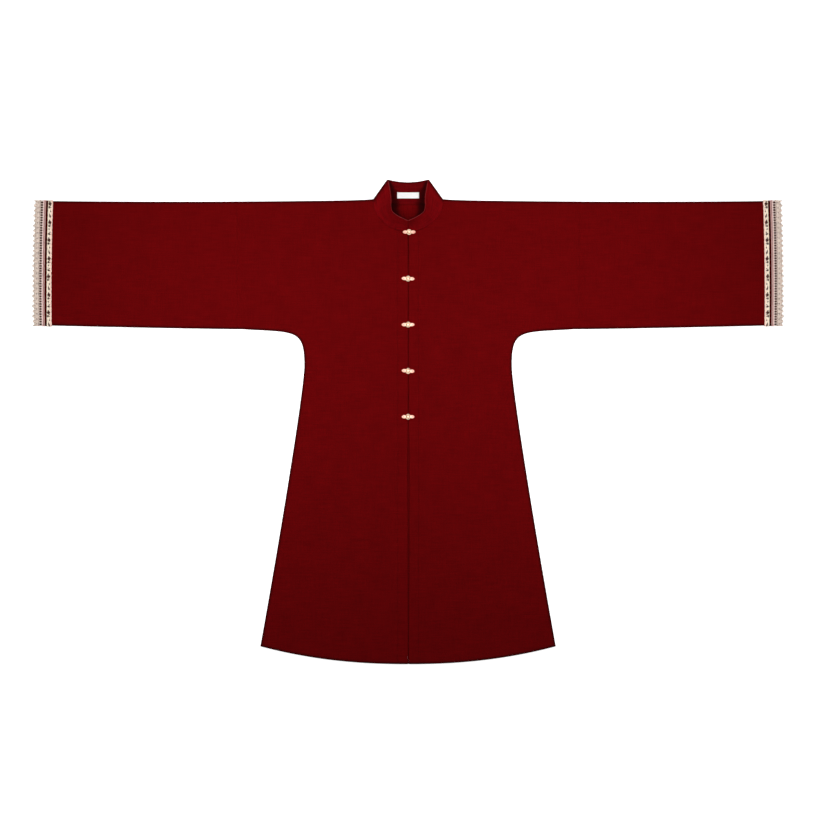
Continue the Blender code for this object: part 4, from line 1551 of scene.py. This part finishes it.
def braid_points(side):
    """The ribbon's closed section, corded along both edges, round the cuff, and its UV map."""
    share = band_rows(BRAID_INNER_X, BRAID_ROWS)[:, None]
    beads = np.abs(np.sin(math.pi * share * cuff_length(BRAID_INNER_X) / SELVEDGE_PITCH))
    from_edge = np.minimum(BRAID_ACROSS, BRAID_WIDTH - BRAID_ACROSS)
    cord = np.exp(-((from_edge - CORD_INSET) / CORD_WIDTH) ** 2)
    round_edge = np.sqrt(np.clip(from_edge / EDGE_TURN, 0, 1))
    top = BRAID_LIFT * round_edge + SELVEDGE * cord * lerp(CORD_LEAST, 1, beads)
    bottom = np.broadcast_to(-BRAID_LIFT * round_edge, top.shape)[:, -2:0:-1]
    lift = np.concatenate([top, bottom], axis=1)
    across = np.concatenate([BRAID_ACROSS, BRAID_ACROSS[-2:0:-1]])
    wave = SCALLOP * np.abs(np.sin(math.pi * share * SCALLOP_COUNT)) * side_of(across)
    turns = np.append(share, 1.0)[:, None] * float(cuff_length(BRAID_INNER_X))
    uv = np.stack(np.broadcast_arrays(turns, across[None, :]), axis=-1)
    return wrap_cuff(side, share, BRAID_INNER_X + across + wave, lift), uv


for side, word in SIDES:
    points, uv = braid_points(side)
    closed_piece(f"braid_ribbon_{word}", points, ribbon, "braid",
                                f"braid_{word}", looped=True, uv=uv)

# %% Braid motifs
MOTIF_COUNT = 7
PETALS = 6
BRAID_MIDDLE = 5.7
# One repeat holds the spray twice: where it starts along and how far it is moved across, in mm
SPRAYS = ((22.0, 0.5), (64.5, -0.4))
STEM_LENGTH = 88.0
STEM_POINTS = 72
STEM_WAVE = 22.0
STEM_SWING = 1.2
MOTIF_STAND = 0.1

# Dull rayon: the raised thread shows by its colour and hardly by gloss
motif_thread, _, _ = new_material("rayon motif thread, dark brown",
                                  Base_Color=linear("#401404"), Roughness=0.5,
                                  Specular_IOR_Level=0.3)


def spray_shapes(start, shift):
    """Leaves of one spray: root, turn in degrees, from, to, width and thickness in mm."""
    middle = BRAID_MIDDLE + shift
    blossom = (start + 9.0, middle + 0.4)
    bud = (start + 0.6, middle)
    shapes = [(blossom, 60 * k + 8 * shift, 0.9, 4.2, 3.1, 0.7) for k in range(PETALS)]
    shapes += [(blossom, 0, -1.2, 1.2, 2.7, 1.1),
               (blossom, 82, 3.4, 6.6, 2.9, 0.5),
               (blossom, 250, 3.4, 6.0, 2.5, 0.6),
               ((start + 23.5, middle), 52 - 60 * shift, -3.3, 3.3, 4.2, 0.8),
               ((start + 27.5, middle - 3 * shift), 120, -1.9, 1.9, 2.3, 0.6),
               ((start + 35.5, middle + 2 * shift), 75, -2.0, 2.0, 2.5, 0.7)]
    shapes += [(bud, turn, 0.3, 4.0, 2.8, 0.95 - abs(turn) / 200) for turn in (-42, 0, 42)]
    shapes.append((bud, 180, 0.2, 3.0, 2.3, 0.7))
    return shapes


def braid_motif():
    """One repeat, in millimetres along and across: two sprays, and the stem through both."""
    lift = BRAID_LIFT / MM + MOTIF_STAND
    strands = []
    for start, shift in SPRAYS:
        for root, turn, low, high, width, thick in spray_shapes(start, shift):
            strands.append(leaf(root, math.radians(turn), low, high, width, thick, lift=lift))
    s = np.linspace(0, STEM_LENGTH, STEM_POINTS)
    swing = STEM_SWING * np.sin(2 * math.pi * s / STEM_WAVE)
    stem = np.stack([s, BRAID_MIDDLE + swing], axis=1)
    return strands + [strand(stem, 0.4, 0.5, 4, lift)]


braid_motifs = {word: make_band(f"braid_motifs_{word}", braid_motif(), side, MOTIF_COUNT,
                                BRAID_INNER_X, motif_thread, "braid")
                for side, word in SIDES}

# %% [markdown]
# ## The lace
#
# The lace is guipure, thread embroidered on a ground that is washed away afterwards. From the
# cloth outwards it has a sheer mauve net, a padded pink ridge, a ladder of small holes, and
# then the body: fans of satin leaves, a longer and a shorter one by turns, joined by a net and
# edged with a cord that carries tiny loops. One repeat is drawn strand by strand and set 25 times
# round each cuff, slid so that the points of its two layers lie on each other. The yarn is
# mauve, then pink, then champagne across the band. The net of the body is painted darkest, as
# painted shade between the leaves.

# %% Lace thread
LACE_INNER_X = 0.8674
LACE_REPEATS = 25
MAUVE_TO = 4.9
MAUVE_FADE = 0.3
PINK_TO = 8.0
RIDGE_FADE = 0.4
TWIST = 0.8 * MM
TWIST_HEIGHT = 0.15 * MM

# Satin stitch lays hundreds of glossy filaments side by side, so the index is set high here too
lace_thread, tree, shader = new_material("guipure lace thread, champagne to mauve",
                                         Roughness=0.45, Specular_IOR_Level=0.9, IOR=2.0)
across = add_node(tree, "ShaderNodeAttribute", attribute_name="across")
outer = add_node(tree, "ShaderNodeMapRange", {"Value": across.outputs["Fac"],
                                              "From Min": PINK_TO, "From Max": PINK_TO + RIDGE_FADE})
inner = add_node(tree, "ShaderNodeMapRange", {"Value": across.outputs["Fac"],
                                              "From Min": MAUVE_TO, "From Max": MAUVE_TO + MAUVE_FADE})
tone = add_node(tree, "ShaderNodeAttribute", attribute_name="tone")
# Low tones darken the body's net, as painted shade between the leaves
body = add_node(tree, "ShaderNodeMix", {0: tone.outputs["Fac"], 6: linear("#b48a72"),
                                        7: linear("#ffe7d5")}, data_type="RGBA")
header = add_node(tree, "ShaderNodeMix",
                  {0: inner, 6: linear("#e4a298"), 7: linear("#f8d4cb")}, data_type="RGBA")
colour = add_node(tree, "ShaderNodeMix",
                  {0: outer, 6: header.outputs[2], 7: body.outputs[2]}, data_type="RGBA")
tree.links.new(colour.outputs[2], shader.inputs["Base Color"])
place = add_node(tree, "ShaderNodeTexCoord").outputs["Object"]
twist = add_node(tree, "ShaderNodeTexNoise", {"Vector": place, "Scale": 1 / TWIST,
                                              "Detail": 2.0})
bump = add_node(tree, "ShaderNodeBump", {"Height": twist, "Distance": TWIST_HEIGHT,
                                         "Strength": 0.6})
tree.links.new(bump.outputs[0], shader.inputs["Normal"])
print(lace_thread.name)

# %% Header and ladder of the lace
# Millimetres across the lace, from its inner edge, and widths in millimetres
NET_FROM = 0.9
NET_SLANT = 2.7
NET_STEPS = 14
RIDGE_AT = 6.1
RIDGE_WIDTHS = (2.5, 2.9)
RIDGE_STITCHES = 12
LADDER_FROM = 7.0
LADDER_TO = 13.2
RAIL_LAP = 0.2
RUNGS = 4
RUNG_WIDTHS = np.array([2.6, 2.3, 2.1, 2.3, 2.6])
RUNG_TONE = 0.6


def straight(repeat, across, width, thick):
    """A plain cord along the whole repeat."""
    t = np.linspace(0, repeat, 9)
    return strand(np.stack([t, np.full_like(t, across)], axis=1), width, thick)


def header_net(repeat):
    """Fine threads crossing both ways between the cloth and the padded ridge."""
    strands = [straight(repeat, NET_FROM, 0.9, 0.6)]
    for k in range(NET_STEPS):
        start = k * repeat / NET_STEPS
        for way in (-1, 1):
            path = [(start + way * NET_SLANT * t, lerp(NET_FROM, MAUVE_TO, t))
                    for t in (0, 0.5, 1)]
            strands.append(strand(path, 0.75, 0.4, 4))
    return strands


def ridge_and_ladder(repeat):
    """The padded ridge, ribbed by its stitches, and the rungs and the rail beside it."""
    t = np.linspace(0, repeat, 2 * RIDGE_STITCHES + 1)
    rib = np.resize(RIDGE_WIDTHS, len(t))
    strands = [strand(np.stack([t, np.full_like(t, RIDGE_AT)], axis=1), rib, 0.9, 8)]
    across = np.linspace(LADDER_FROM, LADDER_TO + RAIL_LAP, len(RUNG_WIDTHS))
    for k in range(RUNGS):
        along = np.full_like(across, (k + 0.5) * repeat / RUNGS)
        strands.append(strand(np.stack([along, across], axis=1), RUNG_WIDTHS, 0.6,
                              tone=RUNG_TONE))
    return strands + [straight(repeat, LADDER_TO, 0.8, 0.7)]


print(RUNGS * LACE_REPEATS, "rungs in each ladder")

# %% Edge and net of the lace
LACE_WIDTH = (LACE_EDGE_X - LACE_INNER_X) / MM
# The edge is two scallops to a repeat, the second longer; how far each part is set back, in mm
LOOP_ROOM = 1.9
SHORT_TIP = 1.2
VALLEY = 9.4
SCALLOP_POWER = 1.1
BODY_NET_STEPS = 12
BODY_NET_REACH = 17
BODY_NET_SLANT = 0.7
# The net's low tone is painted shade between the leaves
BODY_NET_SHADE_TONE = 0.2
NET_SET_BACK = 1.0
# The small notch beside the ladder: how far across it lies, and its radius
NOTCH_AT = 15.0
NOTCH_RADIUS = 2.3


def lace_edge(along, repeat):
    """Distance across of the lace's outer edge, in millimetres."""
    share = np.asarray(along) / repeat % 1
    tip = np.where(share < 0.5, SHORT_TIP, 0.0)
    from_tip = np.abs(share % 0.5 - 0.25) / 0.25
    return LACE_WIDTH - LOOP_ROOM - lerp(tip, VALLEY, from_tip ** SCALLOP_POWER)


def body_net(repeat):
    """Crossing threads behind the fans, left out past the edge and round the notch."""
    strands = []
    rise = np.linspace(0, BODY_NET_REACH, 9)
    for k in range(BODY_NET_STEPS):
        for way in (-1, 1):
            path = np.stack([k * repeat / BODY_NET_STEPS + way * rise * BODY_NET_SLANT,
                             LADDER_TO + RAIL_LAP + rise], axis=1)
            past_edge = path[:, 1] > lace_edge(path[:, 0], repeat) - NET_SET_BACK
            if past_edge.any():
                path = path[:past_edge.argmax()]
            from_notch = path[:, 0] - repeat * np.round(path[:, 0] / repeat)
            near = np.hypot(from_notch, path[:, 1] - NOTCH_AT) < NOTCH_RADIUS
            path = path[near.nonzero()[0][-1] + 1:] if near.any() else path
            if len(path) > 2:
                strands.append(strand(path, 1.0, 0.4, 4, lift=-0.2, tone=BODY_NET_SHADE_TONE))
    return strands


print("lace", round(LACE_WIDTH, 1), "mm wide")

# %% Fans and cord of the lace
FAN_ROOT = LADDER_TO + 2.0
# The leaves of a fan: turn in degrees, length as a share of the longest, width in mm
FAN_LEAVES = ((0, 1.0, 3.8), (-27, 0.80, 3.1), (27, 0.80, 3.1), (-62, 0.42, 2.7),
              (62, 0.42, 2.7))
# The knot on a fan's root: where it starts and ends, and its width, in mm
KNOT = (-1.2, 1.6, 2.6)
CORD_STEPS = 32
# The cord is thicker than the leaves, so that it lies over their ends
CORD_THICK = 0.9
CORD_SET_BACK = 0.9


def fan(root, reach):
    """Satin leaves that spread from a root with a knot on it: a long one, two, and two low."""
    knot = leaf(root, 0.0, *KNOT, 1.0, 5)
    return [knot] + [leaf(root, math.radians(turn), KNOT[1], reach * share, width)
                     for turn, share, width in FAN_LEAVES]


def edge_cord(repeat):
    """The corded edge, with a tiny loop at every fourth step."""
    cord = np.linspace(0, repeat, CORD_STEPS + 1)
    cord = np.stack([cord, lace_edge(cord, repeat) - CORD_SET_BACK], axis=1)
    strands = [strand(cord, 1.3, CORD_THICK)]
    return strands + [leaf(root, 0.0, 0.2, 1.3, 1.0, 0.6, 4) for root in cord[2::4]]


def lace_unit():
    """One repeat of the lace in millimetres along and across the band."""
    repeat = float(cuff_length(LACE_INNER_X)) / LACE_REPEATS / MM
    fans = []
    for share in (0.25, 0.75):
        root = (share * repeat, FAN_ROOT)
        fans += fan(root, float(lace_edge(root[0], repeat)) - FAN_ROOT)
    return (header_net(repeat) + ridge_and_ladder(repeat) + body_net(repeat) + fans
            + edge_cord(repeat))


def lace_phase():
    """Slides the lace so that the points of its two layers lie on each other."""
    _, radius, _, _ = cuff_ring(np.array(LACE_INNER_X))
    fold = math.pi * float(radius)
    return (float(cuff_length(LACE_INNER_X)) / LACE_REPEATS / 2 - fold) / 2


laces = {word: make_band(f"lace_thread_{word}", lace_unit(), side, LACE_REPEATS,
                         LACE_INNER_X, lace_thread, "lace", f"lace_{word}",
                         phase=lace_phase())
         for side, word in SIDES}

# %% [markdown]
# ## The clasps
#
# Each clasp is a pair of cast plates: a tall heart split down the middle and a round lobe on
# either side. The wearer's left half carries a domed stud, and the other is notched to ring
# it. A caster's relief stands on the plate: a raised rim, a groove inside it, a small blossom
# in the lobe, a scroll in the heart, a channel round the stud, and a bead and a sewing hole
# beside it. The plating is a pale rose gold, paler and creamier towards the middle, and darkened
# as painted shade where it lies low: in the recesses and down the plate's sides.
#
# A half is made of rings of points, from its rim in to a spine along its middle, and the
# relief is a formula added to their heights. A bump would show no relief from the side.

# %% Clasp metal
# Cast and tumbled, the plating spreads a highlight and still looks like metal
metal, tree, shader = new_material("cast zinc, pale rose gold plating", Metallic=1.0,
                                   Roughness=0.34)
# Painted shade: the plate darkens where it lies low, in its recesses and down its sides
recess = add_node(tree, "ShaderNodeAttribute", attribute_name="recess")
handled = add_node(tree, "ShaderNodeAttribute", attribute_name="handled")
# Paler and creamier towards the middle
bright = add_node(tree, "ShaderNodeMix", {0: handled.outputs["Fac"], 6: linear("#eca694"),
                                          7: linear("#fcdcc0")}, data_type="RGBA")
colour = add_node(tree, "ShaderNodeMix", {0: recess.outputs["Fac"], 6: bright.outputs[2],
                                          7: linear("#703c2a")}, data_type="RGBA")
tree.links.new(colour.outputs[2], shader.inputs["Base Color"])
print(metal.name)

# %% Outline of a clasp half
# Sizes of one clasp are in millimetres
HEART_HALF = (5.5, 7.25)
LOBE_HALF = (5.9, 4.5)
LOBE_X = 9.9
LOBE_POINT = 0.28
WAIST_ANGLE = math.radians(54)
LOBE_ANGLE = math.radians(135)
STUD_RADIUS = 3.6
HALF_GAP = 0.15
HEART_POINTS = 12
LOBE_POINTS = 22
STUD_POINTS = 16


def clasp_outline(side):
    """A half's outline in plan, with the stud's round bulge (+1) or the notch for it (-1)."""
    a = np.linspace(0, WAIST_ANGLE, HEART_POINTS)
    heart = np.stack([HEART_HALF[0] * np.sin(a), HEART_HALF[1] * np.cos(a)], axis=1)
    heart[0] = (HALF_GAP, HEART_HALF[1])
    a = np.linspace(LOBE_ANGLE, 0, LOBE_POINTS)
    height = LOBE_HALF[1] * np.sin(a) * (1 - LOBE_POINT * np.maximum(np.cos(a), 0))
    lobe = np.stack([LOBE_X + LOBE_HALF[0] * np.cos(a), height], axis=1)
    upper = np.concatenate([heart, lobe])
    lower = (upper * (1, -1))[-2::-1]
    radius = STUD_RADIUS if side > 0 else STUD_RADIUS + 2 * HALF_GAP
    a = np.linspace(-math.pi / 2, math.pi / 2, STUD_POINTS)
    arc = np.stack([HALF_GAP - side * radius * np.cos(a), radius * np.sin(a)], axis=1)
    return np.concatenate([upper, lower, arc])


print("outline of a half:", len(clasp_outline(1)), "points")

# %% Relief of a clasp half
BLOSSOM_X = LOBE_X + 0.3
BLOSSOM_RADIUS = 2.7
BLOSSOM_WIDTH = 1.1
BLOSSOM_PETALS = 5
PETAL_HEIGHT = 0.32
SCROLL_AT = (2.7, 4.2)
SCROLL_TURNS = 2.6
SCROLL_REACH = 1.6
SCROLL_HEIGHT = 0.35
HOLE_X = 4.2
HOLE_DEPTH = 1.3
# Round bosses and channels: where along x, radius, how wide, how high
ROUND_RELIEF = (
    (BLOSSOM_X, 0.0, 1.0, 0.40),
    (BLOSSOM_X, 1.5, 0.5, -0.25),
    (HALF_GAP, 4.4, 0.5, -0.55),
    (6.4, 0.0, 0.8, 0.40),
)


def clasp_relief(x, y):
    """The cast relief above the plate's face, in millimetres."""
    from_ring = np.hypot(x - BLOSSOM_X, y) - BLOSSOM_RADIUS
    petals = np.cos(BLOSSOM_PETALS / 2 * np.arctan2(y, x - BLOSSOM_X)) ** 2
    relief = PETAL_HEIGHT * np.exp(-(from_ring / BLOSSOM_WIDTH) ** 2) * petals
    for middle, radius, width, height in ROUND_RELIEF:
        relief = relief + height * np.exp(-((np.hypot(x - middle, y) - radius) / width) ** 2)
    from_scroll = np.hypot(x - SCROLL_AT[0], np.abs(y) - SCROLL_AT[1])
    relief = relief + (SCROLL_HEIGHT * np.cos(from_scroll * SCROLL_TURNS)
                       * np.exp(-(from_scroll / SCROLL_REACH) ** 2))
    return relief - HOLE_DEPTH * np.exp(-np.hypot(x - HOLE_X, y) ** 4)


print("relief at the blossom", round(float(clasp_relief(BLOSSOM_X, 0.0)), 2), "mm")

# %% Points of a clasp half
CLASP_THICK = 1.8
STUD_DOME = 3.1
STUD_RISE = 1.2
NOTCHED_SPINE = 5.4
RING_STEPS = 2
UNDER_ROWS = 4
# The relief fades in from the rim, over shares of the way in to the spine
RELIEF_FROM = 0.1
RELIEF_FADE = 0.2
# Rings from the underside's middle out to the rim and back in over the top:
# how far in from the outline, and the height as a share of the plate's thickness
CLASP_RINGS = np.array([
    # share in, height
    (1.0, 0.0), (0.08, 0.0), (0.0, 0.12), (0.0, 0.45), (0.05, 0.66), (0.11, 0.83),
    (0.18, 0.93), (0.25, 0.88), (0.32, 0.80), (0.40, 0.83), (0.48, 0.88), (0.56, 0.92),
    (0.64, 0.95), (0.73, 0.97), (0.82, 0.98), (0.90, 0.99), (1.0, 0.99),
])


def finer_rings():
    """The table of rings with rings added between its rows."""
    at = np.arange(0, len(CLASP_RINGS) - 1 + 1e-9, 1 / RING_STEPS)
    index = np.arange(len(CLASP_RINGS))
    return np.stack([np.interp(at, index, column) for column in CLASP_RINGS.T], axis=1)


def clasp_half(side):
    """Points of one half, ring by ring, with x away from the middle."""
    outline = clasp_outline(side)
    least = HALF_GAP if side > 0 else HALF_GAP + NOTCHED_SPINE
    spine = np.stack([np.clip(outline[:, 0], least, LOBE_X), np.zeros(len(outline))], axis=1)
    share, height = finer_rings().T
    plan = lerp(outline[None], spine[None], share[:, None, None])
    x, y = plan[..., 0], plan[..., 1]
    z = np.broadcast_to(height[:, None] * CLASP_THICK, x.shape).copy()
    on_top = np.arange(len(share))[:, None] > RING_STEPS * UNDER_ROWS
    z += on_top * smooth((share[:, None] - RELIEF_FROM) / RELIEF_FADE) * clasp_relief(x, y)
    if side > 0:
        from_stud = np.hypot(x - HALF_GAP, y) / STUD_DOME
        dome = CLASP_THICK + STUD_RISE * np.sqrt(np.clip(1 - from_stud ** 2, 0, 1))
        z = np.where(on_top & (from_stud < 1), dome, z)
    return np.stack([x, y, z], axis=-1)


print("a half has", clasp_half(1).size // 3, "points")

# %% Mesh of a clasp half
RECESS_BELOW = 0.76
RECESS_FADE = 0.22
PALER_MIDDLE_TO = 3
PALER_MIDDLE_FADE = 8


def clasp_mesh(name, side, seat):
    mesh = grid_mesh(name, clasp_half(side) * (side, 1, 1) * MM, around=True)
    bm = bmesh.new()
    bm.from_mesh(mesh)
    ends = [face for face in bm.faces if len(face.verts) > 4]
    bmesh.ops.delete(bm, geom=ends, context="FACES_ONLY")
    bmesh.ops.remove_doubles(bm, verts=bm.verts, dist=0.01 * MM)
    recess = bm.verts.layers.float.new("recess")
    handled = bm.verts.layers.float.new("handled")
    for vertex in bm.verts:
        x, _, z = vertex.co / MM
        vertex[recess] = float(smooth((RECESS_BELOW - z / CLASP_THICK) / RECESS_FADE))
        vertex[handled] = float(1 - smooth((abs(x) - PALER_MIDDLE_TO) / PALER_MIDDLE_FADE))
    bm.transform(seat)
    bm.to_mesh(mesh)
    bm.free()
    mesh.shade_smooth()
    face_outwards(mesh)
    return mesh


print("recesses darken below", round(RECESS_BELOW * CLASP_THICK, 2), "mm")

# %% Five clasps
CLASP_Y = (-0.0749, -0.1867, -0.2969, -0.4080, -0.5179)
CLASP_X = (0.0025, 0.0, 0.0, 0.0, 0.0)
CLASP_TILT_DEG = (0.0, -3.0, 0.0, -4.0, 0.0)
CLASP_SEAT_DROP = 2.0 * MM
NECK_CLASP_PITCH_DEG = 18.0
NECK_CLASP_RISE = 1.75 * MM

clasps = []
for number, (x, y, tilt) in enumerate(zip(CLASP_X, CLASP_Y, CLASP_TILT_DEG), start=1):
    neck = number == 1
    height = float(front_z(np.array(PLACKET_WIDTH / 2), np.array(y - CLASP_SEAT_DROP)))
    height += CLOTH / 2 + SEAM_GAP + (NECK_CLASP_RISE if neck else 0)
    pitch = math.radians(NECK_CLASP_PITCH_DEG if neck else 0)
    seat = (Matrix.Translation((x, y + SHOULDER_Y, height))
            @ Matrix.Rotation(math.radians(tilt), 4, "Z") @ Matrix.Rotation(pitch, 4, "X"))
    for side, word in SIDES:
        name = f"clasp_plate_{number}_{word}"
        plate = new_piece(name, clasp_mesh(name, side, seat), metal)
        clasps.append(join_body(plate, "clasp_metal", f"clasp_{number}_{word}"))
print(len(clasps), "clasp halves")

# %% [markdown]
# ## Cloth that was cut flat
#
# The robe has two long halves that fold over the shoulder, two sleeve ends, the pressed-open
# allowances of the back seam, the collar, its piping and the label. Round each cuff go a dark
# sheet of painted shade, a braid and a lace.

print("cut pieces: halves, sleeve ends, allowances, collar, piping, label and bands round each cuff")

# %% [markdown]
# ## Finish
#
# Last, the size of everything drawn is set beside the size of the solids.

# %% Finish
size = {"cad": [list(corner) for corner in cad_box],
        "visual": [list(corner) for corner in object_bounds()]}
